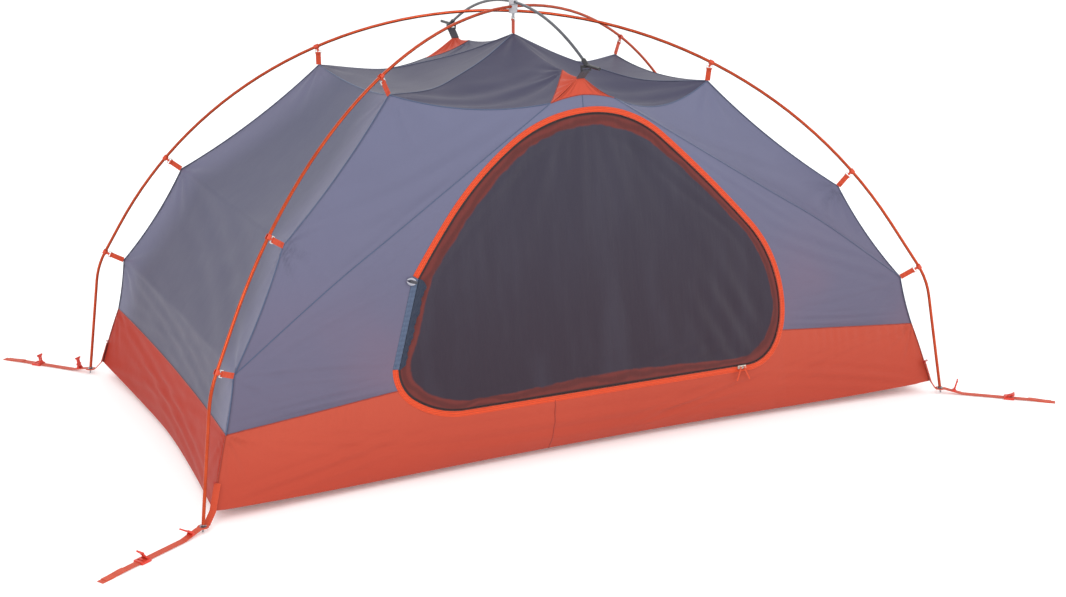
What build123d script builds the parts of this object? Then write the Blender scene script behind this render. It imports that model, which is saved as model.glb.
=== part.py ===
"""Free-standing dome tent, pitched: two crossing poles, a brow pole, a clipped canopy and two doors.

Millimetres, +Z up. The origin is on the ground under the crossing of the poles. +X runs to the
foot end, -X to the head end, and the front door faces -Y. The back door is the front door turned
half a turn about Z, and the rest of the tent is the same in front and behind.
"""
import os
from math import acos, asin, atan2, cos, hypot, pi, radians, sin, tan

from build123d import *

os.makedirs("parts", exist_ok=True)

HEAD, FOOT = -1, 1
FRONT, BACK = -1, 1
ENDS = (HEAD, FOOT)
SIDES = (FRONT, BACK)
CORNERS = [(end, side) for side in SIDES for end in ENDS]
CORNER_NAMES = {(HEAD, FRONT): "head_front", (FOOT, FRONT): "foot_front",
                (HEAD, BACK): "head_back", (FOOT, BACK): "foot_back"}
SIDE_NAMES = {FRONT: "front", BACK: "back"}
END_NAMES = {HEAD: "head", FOOT: "foot"}

# --- driving dimensions: poles --------------------------------------------------------------
pole_azimuth = 29.4          # angle of each pole's vertical plane from the X axis
pole_radius = 4.5
pole_wall = 0.75
crown_height = 1164.0        # axis of the lower pole at its highest point
crown_shift = 47.0           # the crowns lie this far towards the head end
pole_spacing = 13.0          # height between the axes of the stacked poles at the hub
head_foot_reach = 1348.0     # from the middle of the tent to a pole's foot
foot_foot_reach = 1317.0
head_leg_lean = 7.6          # the straight leg's lean inward from vertical
foot_leg_lean = 10.0
head_knee_turn = 22.7        # bend of the leg section
foot_knee_turn = 24.2
head_knee_drop = 808.0       # each knee lies this far below the lower pole's crown
foot_knee_drop = 801.0
knee_radius = 250.0
arch_sections = 3            # tube sections on each side of the crown
section_gap = 0.2
ferrule_length = 44.0
ferrule_clearance = 0.25
ferrule_wall = 1.4
shock_cord_radius = 1.5
grommet_height = 14.0        # a corner's webbing hangs this far up its pin
pin_radius = 2.4
tip_collar = 6.0
tip_plug = 18.0
brow_pole_radius = 4.2
brow_half_span = 468.0
brow_end_drop = 96.0         # the brow pole's ends lie this far below the lower pole's crown

# --- driving dimensions: canopy -------------------------------------------------------------
fabric = 2.0
peak_drop = 68.0             # canopy peak below the crown of the lower pole
clip_reach = 63.0            # pole axis to canopy seam at each clip
head_low_clip_rise = 45.0    # the lowest clips sit this far above the pole's knee
foot_low_clip_rise = 38.0
head_clip_drops = (460.0, 113.0)     # the middle and high clips hang this far below the lower crown
foot_clip_drops = (471.0, 148.0)
head_clip_pulls = (24.0, 33.0, 60.0)     # each webbing tab's fall below horizontal
foot_clip_pulls = (32.0, 47.0, 60.0)
floor_half_width = 636.0
head_floor_half_length = 1139.0
foot_floor_half_length = 1113.0
floor_corner_height = 40.0
floor_edge_height = 19.0
floor_edge_draw = 61.0       # the long edges curve in by this much at their middle
floor_edge_bow = 0.75        # share of that draw, and the rise, a quarter of the way along
floor_edge_rise = 5.0
floor_end_draw = 45.0
floor_flat_inset = 112.0     # the flat floor starts this far inside the corners
tub_corner_inset_x = 51.0
tub_corner_inset_y = 39.0
tub_corner_rise = 180.0
head_tub_bend_height = 250.0
foot_tub_bend_height = 246.0
head_tub_door_height = 267.0  # top of the tub where it meets a door's edge
foot_tub_door_height = 255.0
tub_fold_height = 148.0      # below this the tub's wall turns under
wall_lean = 11.04            # a door wall leans in by this angle
wall_foot_y = 634.2          # a door wall's outer face meets the ground here
wall_bend_x = 760.0          # the door wall is flat between these two bends
seam_bend_height = 547.0
patch_half_width = 99.0
patch_point_y = 430.0
patch_point_drop = 41.0      # the patch's point hangs this far below the brow pole's ends
patch_bottom_drop = 60.0     # the patch's other corners, below or above its point
patch_middle_drop = 44.0
patch_back_y = 322.0
patch_back_rise = 7.0
roof_seam_fraction = 0.45    # place of the roof seams' sag point between peak and clip
roof_seam_sag = 35.0
head_roof_edge_sag = 22.0
foot_roof_edge_sag = 42.0
head_wall_draws = (27.0, 46.0)   # an end wall bows in by this much at its low and middle clips
foot_wall_draws = (22.0, 38.0)

# --- driving dimensions: doors, on a wall's own plane: x to the right from outside, y up it ----
door_sill = 178.0
door_top_margin = 43.5       # the door's top stays this far below the patch's middle
# an outline's corner is its x, and its height as a share of the door's from the sill to the top
door_bottom_corners = [(-430.0, 0.0), (470.0, -0.0064)]
door_curve_corners = [(576.0, 0.0744), (602.0, 0.1949), (511.0, 0.5308), (239.0, 0.8897), (18.0, 1.0),
                      (-227.0, 0.9038), (-430.0, 0.6667), (-537.0, 0.4872)]
hinge_bottom_corner = (-616.0, 0.1846)
door_low_left_corner = (-575.0, 0.0641)
door_low_tangent = (-0.1, -1.0)
door_edge_x = 610.0          # the tub's top edge is level inside this
tape_half_width = 9.0
tape_thickness = 1.2
coil_width = 2.5
coil_height = 1.4
door_gap = 0.5
binding_thickness = 1.2
slider_length = 13.0
slider_height = 4.6
slider_width = 9.5
slider_clearance = 0.3
slider_place = 447.0         # the two sliders meet here on the straight bottom run
pull_pin_radius = 0.9
pull_eye_radius = 2.8
pull_width = 4.0
pull_length = 36.0
pull_splay = 24.0
toggle_length = 20.0
toggle_radius = 3.6
toggle_place = 13.0          # the toggle lies this far below the hinge's top end

# --- driving dimensions: clips, hub and corners ---------------------------------------------
clip_length = 13.0
clip_wall = 2.6
clip_clearance = 0.15
clip_tail = 15.0             # pole axis to the end of the clip's tail
clip_mouth = 5.0
ring_depth = 11.0
ring_bar = 2.2
ring_thickness = 2.6
web_width = 15.0
web_thickness = 1.6
hub_radius = 13.0
hub_gap = 0.4                # between the hub's stacked blocks
brow_web_width = 25.0
brow_fitting_tail = 72.0
brow_socket_depth = 24.0
brow_socket_wall = 2.0
strap_width = 20.0
strap_thickness = 1.6
grommet_radius = 9.0
grommet_lip = 1.2
grommet_clearance = 0.7
grommet_wall = 1.2
collar_step = 1.0            # a pole tip's collar stands out this far past the tube
strap_pad_radius = 15.0
ladder_length = 30.0
ladder_width = 30.0
ladder_height = 6.0
ladder_clearance = 0.4
buckle_height = 30.0
buckle_top_width = 24.0
buckle_waist = 12.0
tab_stations = (0.3, 0.7, 0.86)   # where a tab's waist starts and ends, and its shoulder
tab_slot = (0.55, 0.4)       # a ladder lock's tab: slot length and width, by height and waist
buckle_thickness = 4.0
buckle_pin_radius = 1.6
buckle_clearance = 0.3

foot_reach = {HEAD: head_foot_reach, FOOT: foot_foot_reach}
leg_lean = {HEAD: head_leg_lean, FOOT: foot_leg_lean}
knee_turn = {HEAD: head_knee_turn, FOOT: foot_knee_turn}
knee_height = {HEAD: crown_height - head_knee_drop, FOOT: crown_height - foot_knee_drop}
low_clip_rise = {HEAD: head_low_clip_rise, FOOT: foot_low_clip_rise}
clip_drops = {HEAD: head_clip_drops, FOOT: foot_clip_drops}
clip_heights = {end: (knee_height[end] + low_clip_rise[end],
                      *[crown_height - drop for drop in clip_drops[end]]) for end in ENDS}
clip_pulls = {HEAD: head_clip_pulls, FOOT: foot_clip_pulls}
floor_half_length = {HEAD: head_floor_half_length, FOOT: foot_floor_half_length}
roof_edge_sag = {HEAD: head_roof_edge_sag, FOOT: foot_roof_edge_sag}
wall_draws = {HEAD: head_wall_draws, FOOT: foot_wall_draws}
tub_bend_height = {HEAD: head_tub_bend_height, FOOT: foot_tub_bend_height}
tub_door_height = {HEAD: head_tub_door_height, FOOT: foot_tub_door_height}
pole_bore = pole_radius - pole_wall
upper_crown = crown_height + pole_spacing
brow_crown = upper_crown + pole_spacing
peak_height = crown_height - peak_drop
brow_end_height = crown_height - brow_end_drop
patch_point_height = brow_end_height - patch_point_drop
patch_bottom_height = patch_point_height - patch_bottom_drop
patch_middle_height = patch_point_height - patch_middle_drop
patch_back_height = patch_point_height + patch_back_rise
door_height = patch_middle_height / cos(radians(wall_lean)) - door_top_margin - door_sill


def door_corner(corner):
    """A corner of a door's outline on its wall."""
    return (corner[0], door_sill + corner[1] * door_height)


door_bottom_start, door_bottom_end = [door_corner(corner) for corner in door_bottom_corners]
door_curve = [door_corner(corner) for corner in door_curve_corners]
hinge_top = door_curve[-1]
hinge_bottom = door_corner(hinge_bottom_corner)
door_low_corner = door_corner(door_low_left_corner)


# === pole geometry: (reach, height) pairs in a pole's own vertical plane =====================
def leg_reach(end, height):
    """How far out the straight leg's axis is at a height."""
    return foot_reach[end] - (height - grommet_height) * tan(radians(leg_lean[end]))


def pole_half(end, crown):
    """The stations of half a pole, with the arch radius and the straight run that close it."""
    lean = radians(leg_lean[end])
    slope = radians(leg_lean[end] + knee_turn[end])
    tangent = knee_radius * tan(radians(knee_turn[end]) / 2)
    vertex = (leg_reach(end, knee_height[end]), knee_height[end])
    knee_low = (vertex[0] + tangent * sin(lean), vertex[1] - tangent * cos(lean))
    knee_high = (vertex[0] - tangent * sin(slope), vertex[1] + tangent * cos(slope))
    span = knee_high[0] + end * crown_shift
    rise = crown - knee_high[1]
    turn = pi / 2 - slope
    # radius * sin(turn) + run * cos(turn) = span
    # radius * (1 - cos(turn)) + run * sin(turn) = rise
    determinant = sin(turn) ** 2 - cos(turn) * (1 - cos(turn))
    radius = (span * sin(turn) - rise * cos(turn)) / determinant
    run = (rise * sin(turn) - span * (1 - cos(turn))) / determinant
    arch_foot = (knee_high[0] - run * sin(slope), knee_high[1] + run * cos(slope))
    return {"knee_low": knee_low, "knee_high": knee_high, "arch_foot": arch_foot,
            "radius": radius, "turn": turn, "lean": lean, "slope": slope}


def arch_point(end, crown, angle):
    """A point of the arch, by its angle from the crown."""
    radius = pole_half(end, crown)["radius"]
    return (radius * sin(angle) - end * crown_shift, crown - radius * (1 - cos(angle)))


def pole_station(end, crown, height):
    """The pole's reach at a height, and its slope there from vertical."""
    half = pole_half(end, crown)
    if height >= half["arch_foot"][1]:
        angle = acos(1 - (crown - height) / half["radius"])
        return arch_point(end, crown, angle)[0], pi / 2 - angle
    if height >= half["knee_high"][1]:
        rise = height - half["knee_high"][1]
        return half["knee_high"][0] - rise * tan(half["slope"]), half["slope"]
    if height >= half["knee_low"][1]:
        centre = (half["knee_low"][0] - knee_radius * cos(half["lean"]),
                  half["knee_low"][1] - knee_radius * sin(half["lean"]))
        slope = asin((height - centre[1]) / knee_radius)
        return centre[0] + knee_radius * cos(slope), slope
    return leg_reach(end, height), half["lean"]


def corner_crown(end, side):
    """The upper pole runs from the head's front corner to the foot's back corner."""
    return upper_crown if end == side else crown_height


def corner_point(end, side, reach, height):
    """A point in a corner's vertical pole plane."""
    azimuth = radians(pole_azimuth)
    return Vector(end * reach * cos(azimuth), side * reach * sin(azimuth), height)


def pole_plane(crown):
    """The vertical plane of a pole: local x towards the foot end, local y up."""
    side = BACK if crown == upper_crown else FRONT
    azimuth = side * radians(pole_azimuth)
    return Plane(origin=(0, 0, 0), x_dir=(cos(azimuth), sin(azimuth), 0),
                 z_dir=(sin(azimuth), -cos(azimuth), 0))


def crosswise(path, outer, inner=0.0):
    """A round or ring profile square to the start of a path."""
    with BuildSketch(Plane(origin=path @ 0, z_dir=path % 0)) as profile:
        Circle(outer)
        if inner:
            Circle(inner, mode=Mode.SUBTRACT)
    return profile.sketch


def leg_path(end, crown):
    """A leg section's axis: straight leg, bent knee and the straight run above it."""
    half = pole_half(end, crown)
    low = grommet_height + tip_collar
    foot = (end * leg_reach(end, low), low)
    knee_low = (end * half["knee_low"][0], half["knee_low"][1])
    knee_high = (end * half["knee_high"][0], half["knee_high"][1])
    gap = section_gap / 2
    top = (end * (half["arch_foot"][0] + gap * sin(half["slope"])),
           half["arch_foot"][1] - gap * cos(half["slope"]))
    with BuildLine(pole_plane(crown)) as path:
        Line(foot, knee_low)
        TangentArc(knee_low, knee_high, tangent=(-end * sin(half["lean"]), cos(half["lean"])))
        Line(knee_high, top)
    return path.wires()[0]


def arch_path(end, crown, low_angle, high_angle):
    """A stretch of the arch between two angles from the crown."""
    stations = [low_angle, (low_angle + high_angle) / 2, high_angle]
    points = [arch_point(end, crown, angle) for angle in stations]
    with BuildLine(pole_plane(crown)) as path:
        ThreePointArc(*[(end * reach, height) for reach, height in points])
    return path.wires()[0]


def joint_angles(end, crown):
    """Where the arch's sections meet, from the crown down to the leg section."""
    turn = pole_half(end, crown)["turn"]
    return [turn * n / arch_sections for n in range(arch_sections + 1)]


def joint_plane(end, crown, angle):
    """A plane across the pole at a joint."""
    reach, height = arch_point(end, crown, angle)
    plane = pole_plane(crown)
    origin = plane.from_local_coords((end * reach, height, 0))
    ahead = plane.from_local_coords((end * (reach + cos(angle)), height - sin(angle), 0))
    return Plane(origin=origin, z_dir=ahead - origin)


def full_path(crown):
    """The axis of a whole pole from plug to plug, for the cord inside it."""
    low = grommet_height + tip_collar + tip_plug
    half = {end: pole_half(end, crown) for end in ENDS}
    foot = {end: (end * leg_reach(end, low), low) for end in ENDS}
    knee_low = {end: (end * half[end]["knee_low"][0], half[end]["knee_low"][1]) for end in ENDS}
    knee_high = {end: (end * half[end]["knee_high"][0], half[end]["knee_high"][1]) for end in ENDS}
    arch_foot = {end: (end * half[end]["arch_foot"][0], half[end]["arch_foot"][1]) for end in ENDS}
    top = (-crown_shift, crown)
    with BuildLine(pole_plane(crown)) as path:
        Line(foot[HEAD], knee_low[HEAD])
        TangentArc(knee_low[HEAD], knee_high[HEAD],
                   tangent=(sin(half[HEAD]["lean"]), cos(half[HEAD]["lean"])))
        Line(knee_high[HEAD], arch_foot[HEAD])
        TangentArc(arch_foot[HEAD], top,
                   tangent=(sin(half[HEAD]["slope"]), cos(half[HEAD]["slope"])))
        TangentArc(top, arch_foot[FOOT], tangent=(1, 0))
        Line(arch_foot[FOOT], knee_high[FOOT])
        TangentArc(knee_high[FOOT], knee_low[FOOT],
                   tangent=(sin(half[FOOT]["slope"]), -cos(half[FOOT]["slope"])))
        Line(knee_low[FOOT], foot[FOOT])
    return path.wires()[0]


# === poles ==================================================================================
def write(part, name):
    """Label a finished sub-part and write it as its own node."""
    part.label = name
    export_step(part, f"parts/{name}.step")


for pole_name, crown in (("pole_a", crown_height), ("pole_b", upper_crown)):
    with BuildPart() as leg_sections:
        for end in ENDS:
            leg = leg_path(end, crown)
            sweep(sections=crosswise(leg, pole_radius, pole_bore), path=leg)
    write(leg_sections.part, f"{pole_name}_leg_sections")

    with BuildPart() as arch_tubes:
        for end in ENDS:
            angles = joint_angles(end, crown)
            gap_angle = section_gap / 2 / pole_half(end, crown)["radius"]
            for high, low in zip(angles, angles[1:]):
                tube = arch_path(end, crown, low - gap_angle, high + gap_angle)
                sweep(sections=crosswise(tube, pole_radius, pole_bore), path=tube)
    write(arch_tubes.part, f"{pole_name}_arch_sections")

ferrule_radius = pole_bore - ferrule_clearance
with BuildPart() as pole_ferrules:
    for crown in (crown_height, upper_crown):
        for end in ENDS:
            crown_joint = 0 if end == HEAD else 1
            for angle in joint_angles(end, crown)[crown_joint:]:
                with BuildSketch(joint_plane(end, crown, angle)):
                    Circle(ferrule_radius)
                    Circle(ferrule_radius - ferrule_wall, mode=Mode.SUBTRACT)
                extrude(amount=ferrule_length / 2, both=True)
write(pole_ferrules.part, "pole_ferrules")

with BuildPart() as shock_cords:
    for crown in (crown_height, upper_crown):
        cord = full_path(crown)
        sweep(sections=crosswise(cord, shock_cord_radius), path=cord)
write(shock_cords.part, "shock_cords")


# --- pole tips, grommets and the straps at the corners ---------------------------------------
strap_top = grommet_height + strap_thickness / 2
grommet_top = strap_top + grommet_lip
grommet_bore = pin_radius + grommet_clearance
grommet_barrel = grommet_bore + grommet_wall
collar_radius = pole_radius + collar_step
collar_lift = 1.0            # keeps the leaning collar's edge off the grommet
plug_clearance = 0.05

with BuildPart() as pole_tips:
    for end, side in CORNERS:
        low = corner_point(end, side, leg_reach(end, pin_radius), pin_radius)
        high = corner_point(end, side, leg_reach(end, knee_height[end] / 2), knee_height[end] / 2)
        tilt = cos(radians(leg_lean[end]))
        collar_start = (grommet_top + collar_lift - pin_radius) / tilt
        tube_start = (grommet_height + tip_collar - pin_radius) / tilt
        with Locations(Plane(origin=low, z_dir=high - low)):
            Sphere(pin_radius)
            Cylinder(pin_radius, tube_start, align=(Align.CENTER, Align.CENTER, Align.MIN))
            with Locations((0, 0, collar_start)):
                Cylinder(collar_radius, tube_start - collar_start,
                         align=(Align.CENTER, Align.CENTER, Align.MIN))
            with Locations((0, 0, tube_start)):
                Cylinder(pole_bore - plug_clearance, tip_plug / tilt,
                         align=(Align.CENTER, Align.CENTER, Align.MIN))
write(pole_tips.part, "pole_tips")


def ribbon(points, thickness):
    """The outline of a strap seen edge on, along its centre line."""
    offsets = []
    for index, point in enumerate(points):
        before = points[max(index - 1, 0)]
        after = points[min(index + 1, len(points) - 1)]
        ahead = [(point[0] - before[0], point[1] - before[1]),
                 (after[0] - point[0], after[1] - point[1])]
        angles = [atan2(step[1], step[0]) for step in ahead if hypot(*step) > 0]
        middle = (angles[0] + angles[-1]) / 2
        length = thickness / 2 / cos((angles[-1] - angles[0]) / 2)
        offsets.append((-sin(middle) * length, cos(middle) * length))
    above = [(p[0] + o[0], p[1] + o[1]) for p, o in zip(points, offsets)]
    below = [(p[0] - o[0], p[1] - o[1]) for p, o in zip(points, offsets)]
    return above + below[::-1]


# Direction of each strap's tail from the X axis, and the stations along it from the pin.
tail_angle = {(HEAD, FRONT): 30.0, (FOOT, FRONT): 40.6, (HEAD, BACK): 48.8, (FOOT, BACK): 36.0}
tail_length = 340.0
tail_drop = 70.0             # the tail comes down from the pin over this length
tail_level = 3.2             # its height through the ladder lock's travel
tail_level_end = 275.0
tail_end_drop = 310.0
tail_double_start = 262.0    # from here the folded-back end lies on top
tail_double_gap = 12.0       # the folded-back end stops short by this much
ladder_place = 205.0
buckle_place = 42.0
web_corner_rise = 70.0
web_seam_lift = 2.0          # keeps the flat webbing off the tub's sharp corner


def corner_foot(end, side):
    """The pin's place in a corner's webbing."""
    return corner_point(end, side, foot_reach[end], 0)


def tail_plane(end, side):
    """A corner strap's vertical plane: local x outward along the tail, local y up."""
    angle = radians(tail_angle[end, side])
    outward = Vector(end * cos(angle), side * sin(angle), 0)
    return Plane(origin=corner_foot(end, side), x_dir=outward, z_dir=outward.cross(Vector(0, 0, 1)))


tail_points = [(0, grommet_height), (strap_pad_radius, grommet_height), (tail_drop, tail_level),
               (tail_level_end, tail_level), (tail_end_drop, strap_thickness / 2),
               (tail_length, strap_thickness / 2)]
double_points = [(tail_double_start, tail_level + strap_thickness),
                 (tail_level_end, tail_level + strap_thickness),
                 (tail_end_drop, strap_thickness * 3 / 2),
                 (tail_length - tail_double_gap, strap_thickness * 3 / 2)]
with BuildPart() as corner_straps:
    for end, side in CORNERS:
        plane = tail_plane(end, side)
        for centre_line in (tail_points, double_points):
            with BuildSketch(plane):
                with BuildLine():
                    Polyline(*ribbon(centre_line, strap_thickness), close=True)
                make_face()
            extrude(amount=strap_width / 2, both=True)
        # the webbing from the pin to the floor's corner and up the tub's corner seam
        foot = corner_foot(end, side)
        floor_corner = Vector(end * floor_half_length[end], side * floor_half_width, floor_corner_height)
        inward = Vector(floor_corner.X - foot.X, floor_corner.Y - foot.Y, 0)
        seam = Vector(hypot(tub_corner_inset_x, tub_corner_inset_y), tub_corner_rise).normalized()
        outside = Vector(-seam.Y, seam.X) * (strap_thickness / 2 + web_seam_lift)
        low = Vector(inward.length, floor_corner_height) + outside
        high = low + seam * web_corner_rise
        web_points = [(0, grommet_height), (strap_pad_radius, grommet_height), (low.X, low.Y),
                      (high.X, high.Y)]
        with BuildSketch(Plane(origin=foot, x_dir=inward, z_dir=inward.cross(Vector(0, 0, 1)))):
            with BuildLine():
                Polyline(*ribbon(web_points, strap_thickness), close=True)
            make_face()
        extrude(amount=strap_width / 2, both=True)
        with Locations(foot + Vector(0, 0, grommet_height)):
            Cylinder(strap_pad_radius, strap_thickness)
            Cylinder(grommet_barrel, strap_thickness * 4, mode=Mode.SUBTRACT)
write(corner_straps.part, "corner_straps")

with BuildPart() as grommets:
    for end, side in CORNERS:
        with Locations(corner_foot(end, side) + Vector(0, 0, grommet_height)):
            Cylinder(grommet_barrel, strap_thickness + 2 * grommet_lip)
            for face in (-1, 1):
                with Locations((0, 0, face * (strap_thickness + grommet_lip) / 2)):
                    Cylinder(grommet_radius, grommet_lip)
            Cylinder(grommet_bore, strap_thickness * 4, mode=Mode.SUBTRACT)
write(grommets.part, "grommets")


# --- ladder locks and fly buckles on the straps' tails ---------------------------------------
ladder_tab_tilt = {(HEAD, FRONT): 50.0, (FOOT, FRONT): 20.0, (HEAD, BACK): 80.0, (FOOT, BACK): 70.0}
buckle_tilt = {(HEAD, FRONT): 42.0, (FOOT, FRONT): 88.0, (HEAD, BACK): 92.0, (FOOT, BACK): 80.0}
ladder_floor = 0.3
ladder_channel = strap_width / 2 + ladder_clearance
ladder_channel_low = tail_level - strap_thickness / 2 - ladder_clearance
ladder_channel_high = tail_level + strap_thickness / 2 + ladder_clearance
ladder_slot = 5.0
ladder_slot_place = 6.0
ladder_tab_lift = 1.0
ladder_tab_root = 1.5        # the tab starts this far down inside the frame
buckle_pin_height = 7.5
buckle_base_height = 3.2
buckle_eye_radius = buckle_pin_height - buckle_base_height - strap_thickness / 2 - buckle_clearance
buckle_eye_width = 14.0
buckle_ear = 2.0
buckle_base_length = 12.0


def tab_outline(height):
    """A waisted tab that stands on its local x axis."""
    top, waist = buckle_top_width / 2, buckle_waist / 2
    waist_low, waist_high, shoulder = (height * share for share in tab_stations)
    half = [(top, 0), (waist, waist_low), (waist, waist_high), (top, shoulder), (top, height)]
    return half + [(-x, y) for x, y in half[::-1]]


for end, side in CORNERS:
    place = tail_plane(end, side)
    with BuildPart() as ladder_lock:
        lock_middle = (ladder_floor + ladder_height) / 2 + ladder_floor / 2
        centre = Plane(origin=place.from_local_coords((ladder_place, 0, 0)), x_dir=place.x_dir,
                       z_dir=(0, 0, 1))
        with Locations(centre):
            with Locations((0, 0, lock_middle)):
                Box(ladder_length, ladder_width, ladder_height)
            with Locations((0, 0, (ladder_channel_low + ladder_channel_high) / 2)):
                Box(ladder_length * 2, ladder_channel * 2, ladder_channel_high - ladder_channel_low,
                    mode=Mode.SUBTRACT)
            for step in (-1, 1):
                with Locations((step * ladder_slot_place, 0, lock_middle)):
                    Box(ladder_slot, ladder_channel * 2, ladder_height * 2, mode=Mode.SUBTRACT)
        tilt = radians(ladder_tab_tilt[end, side])
        rise = place.x_dir * cos(tilt) + Vector(0, 0, 1) * sin(tilt)
        across = place.z_dir
        tab_foot = place.from_local_coords((ladder_place - ladder_length / 2 + buckle_thickness,
                                            ladder_height + ladder_tab_lift, 0))
        tab_root = tab_foot - rise * ladder_tab_root
        with BuildSketch(Plane(origin=tab_root, x_dir=across, z_dir=across.cross(rise))):
            with BuildLine():
                Polyline(*tab_outline(buckle_height), close=True)
            make_face()
            with Locations((0, buckle_height / 2)):
                SlotOverall(buckle_height * tab_slot[0], buckle_waist * tab_slot[1], rotation=90,
                            mode=Mode.SUBTRACT)
        extrude(amount=buckle_thickness / 2, both=True)
    write(ladder_lock.part, f"ladder_lock_{CORNER_NAMES[end, side]}")


def buckle_plane(end, side):
    """On the strap under a fly buckle: local x down the strap, local z off its face."""
    plane = tail_plane(end, side)
    fall = (tail_level - grommet_height) / (tail_drop - strap_pad_radius)
    height = grommet_height + fall * (buckle_place - strap_pad_radius)
    origin = plane.from_local_coords((buckle_place, height, 0))
    along = (plane.x_dir + Vector(0, 0, fall)).normalized()
    return Plane(origin=origin, x_dir=along, z_dir=plane.z_dir.cross(along))


base_top = strap_thickness / 2 + buckle_base_height
pin_reach = buckle_eye_width / 2 + buckle_clearance + buckle_ear
with BuildPart() as buckle_bases:
    for end, side in CORNERS:
        with Locations(buckle_plane(end, side)):
            with Locations((0, 0, strap_thickness / 2 + buckle_base_height / 2)):
                Box(buckle_base_length, pin_reach * 2, buckle_base_height)
            for sign in (-1, 1):
                with Locations((0, sign * (pin_reach - buckle_ear / 2), (base_top + buckle_pin_height) / 2)):
                    Box(buckle_eye_radius * 2, buckle_ear, buckle_pin_height - base_top)
                with Locations((0, sign * (pin_reach - buckle_ear / 2), buckle_pin_height)):
                    Cylinder(buckle_eye_radius, buckle_ear, rotation=(90, 0, 0))
            with Locations((0, 0, buckle_pin_height)):
                Cylinder(buckle_pin_radius, pin_reach * 2, rotation=(90, 0, 0))
write(buckle_bases.part, "buckle_bases")

for end, side in CORNERS:
    base = buckle_plane(end, side)
    pin = base.from_local_coords((0, 0, buckle_pin_height))
    tilt = radians(buckle_tilt[end, side])
    rise = base.x_dir * cos(tilt) + base.z_dir * sin(tilt)
    across = base.y_dir
    with BuildPart() as fly_buckle:
        with BuildSketch(Plane(origin=pin, x_dir=rise, z_dir=across)) as eye:
            Circle(buckle_eye_radius)
            with Locations((buckle_eye_radius, 0)):
                Rectangle(buckle_eye_radius * 2, buckle_thickness)
            Circle(buckle_pin_radius + buckle_clearance, mode=Mode.SUBTRACT)
        extrude(amount=buckle_eye_width / 2, both=True)
        tab_root = pin + rise * buckle_eye_radius * 2
        with BuildSketch(Plane(origin=tab_root, x_dir=across, z_dir=across.cross(rise))):
            with BuildLine():
                Polyline(*tab_outline(buckle_height - buckle_eye_radius * 2), close=True)
            make_face()
        extrude(amount=buckle_thickness / 2, both=True)
    write(fly_buckle.part, f"fly_buckle_{CORNER_NAMES[end, side]}")


# === canopy: named corner points, and each panel as a closed sheet between them ===============
def canopy_corner(end, side, index):
    """Where a clip's webbing is sewn to the canopy's corner seam."""
    height = clip_heights[end][index]
    reach = pole_station(end, upper_crown, height)[0]
    pull = radians(clip_pulls[end][index])
    return corner_point(end, side, reach - clip_reach * cos(pull), height - clip_reach * sin(pull))


def wall_point(side, x, height):
    """A point on a door wall's outer face."""
    return Vector(x, side * (wall_foot_y - height * tan(radians(wall_lean))), height)


def between(start, finish, fraction, sag=0.0):
    """A point part way along a seam, hanging below the straight line."""
    return start + (finish - start) * fraction - Vector(0, 0, sag)


point = {"peak": Vector(0, 0, peak_height)}
for side in SIDES:
    point["patch_middle", side] = wall_point(side, 0, patch_middle_height)
    point["patch_point", side] = Vector(0, side * patch_point_y, patch_point_height)
    point["patch_back", side] = Vector(0, side * patch_back_y, patch_back_height)
    point["floor_middle", side] = Vector(0, side * (floor_half_width - floor_edge_draw), floor_edge_height)
    for end in ENDS:
        for index in range(3):
            point["clip", index, end, side] = canopy_corner(end, side, index)
        length = floor_half_length[end]
        floor_corner = Vector(end * length, side * floor_half_width, floor_corner_height)
        tub_corner = Vector(end * (length - tub_corner_inset_x),
                            side * (floor_half_width - tub_corner_inset_y),
                            floor_corner_height + tub_corner_rise)
        point["floor", end, side] = floor_corner
        point["tub", end, side] = tub_corner
        point["tub_bend", end, side] = wall_point(side, end * wall_bend_x, tub_bend_height[end])
        point["seam_bend", end, side] = wall_point(side, end * wall_bend_x, seam_bend_height)
        point["fold", end, side] = wall_point(side, end * wall_bend_x, tub_fold_height)
        edge_draw = floor_edge_draw * floor_edge_bow
        point["floor_edge", end, side] = Vector(end * length / 2, side * (floor_half_width - edge_draw),
                                                floor_edge_height + floor_edge_rise)
        point["patch", end, side] = wall_point(side, end * patch_half_width, patch_bottom_height)
        point["roof_seam", end, side] = between(point["peak"], point["clip", 2, end, side],
                                                roof_seam_fraction, roof_seam_sag)
        point["roof_edge", end, side] = between(point["clip", 2, end, side], point["patch", end, side],
                                                0.5, roof_edge_sag[end])
        point["flat", end, side] = Vector(end * (length - floor_flat_inset),
                                          side * (floor_half_width - floor_flat_inset), 0)
for end in ENDS:
    point["floor_end", end] = Vector(end * (floor_half_length[end] - floor_end_draw), 0, floor_edge_height)
    seam = [point["tub", end, FRONT]] + [point["clip", index, end, FRONT] for index in range(3)]
    for index, (below, here, above) in enumerate(zip(seam, seam[1:], seam[2:])):
        climb = above - below
        inward_way = Vector(-end * climb.Z, 0, end * climb.X).normalized()
        point["end_wall", index, end] = Vector(here.X, 0, here.Z) + inward_way * wall_draws[end][index]

in_wall = ("patch_middle", "tub_bend", "seam_bend", "fold", "patch")


def corner_keys(end, side):
    """The canopy's points at one corner, by short name."""
    same = ("floor", "tub", "tub_bend", "seam_bend", "fold", "floor_edge", "patch", "roof_seam", "roof_edge",
            "flat")
    return {"low": ("clip", 0, end, side), "middle": ("clip", 1, end, side), "high": ("clip", 2, end, side),
            **{name: (name, end, side) for name in same}}


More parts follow.
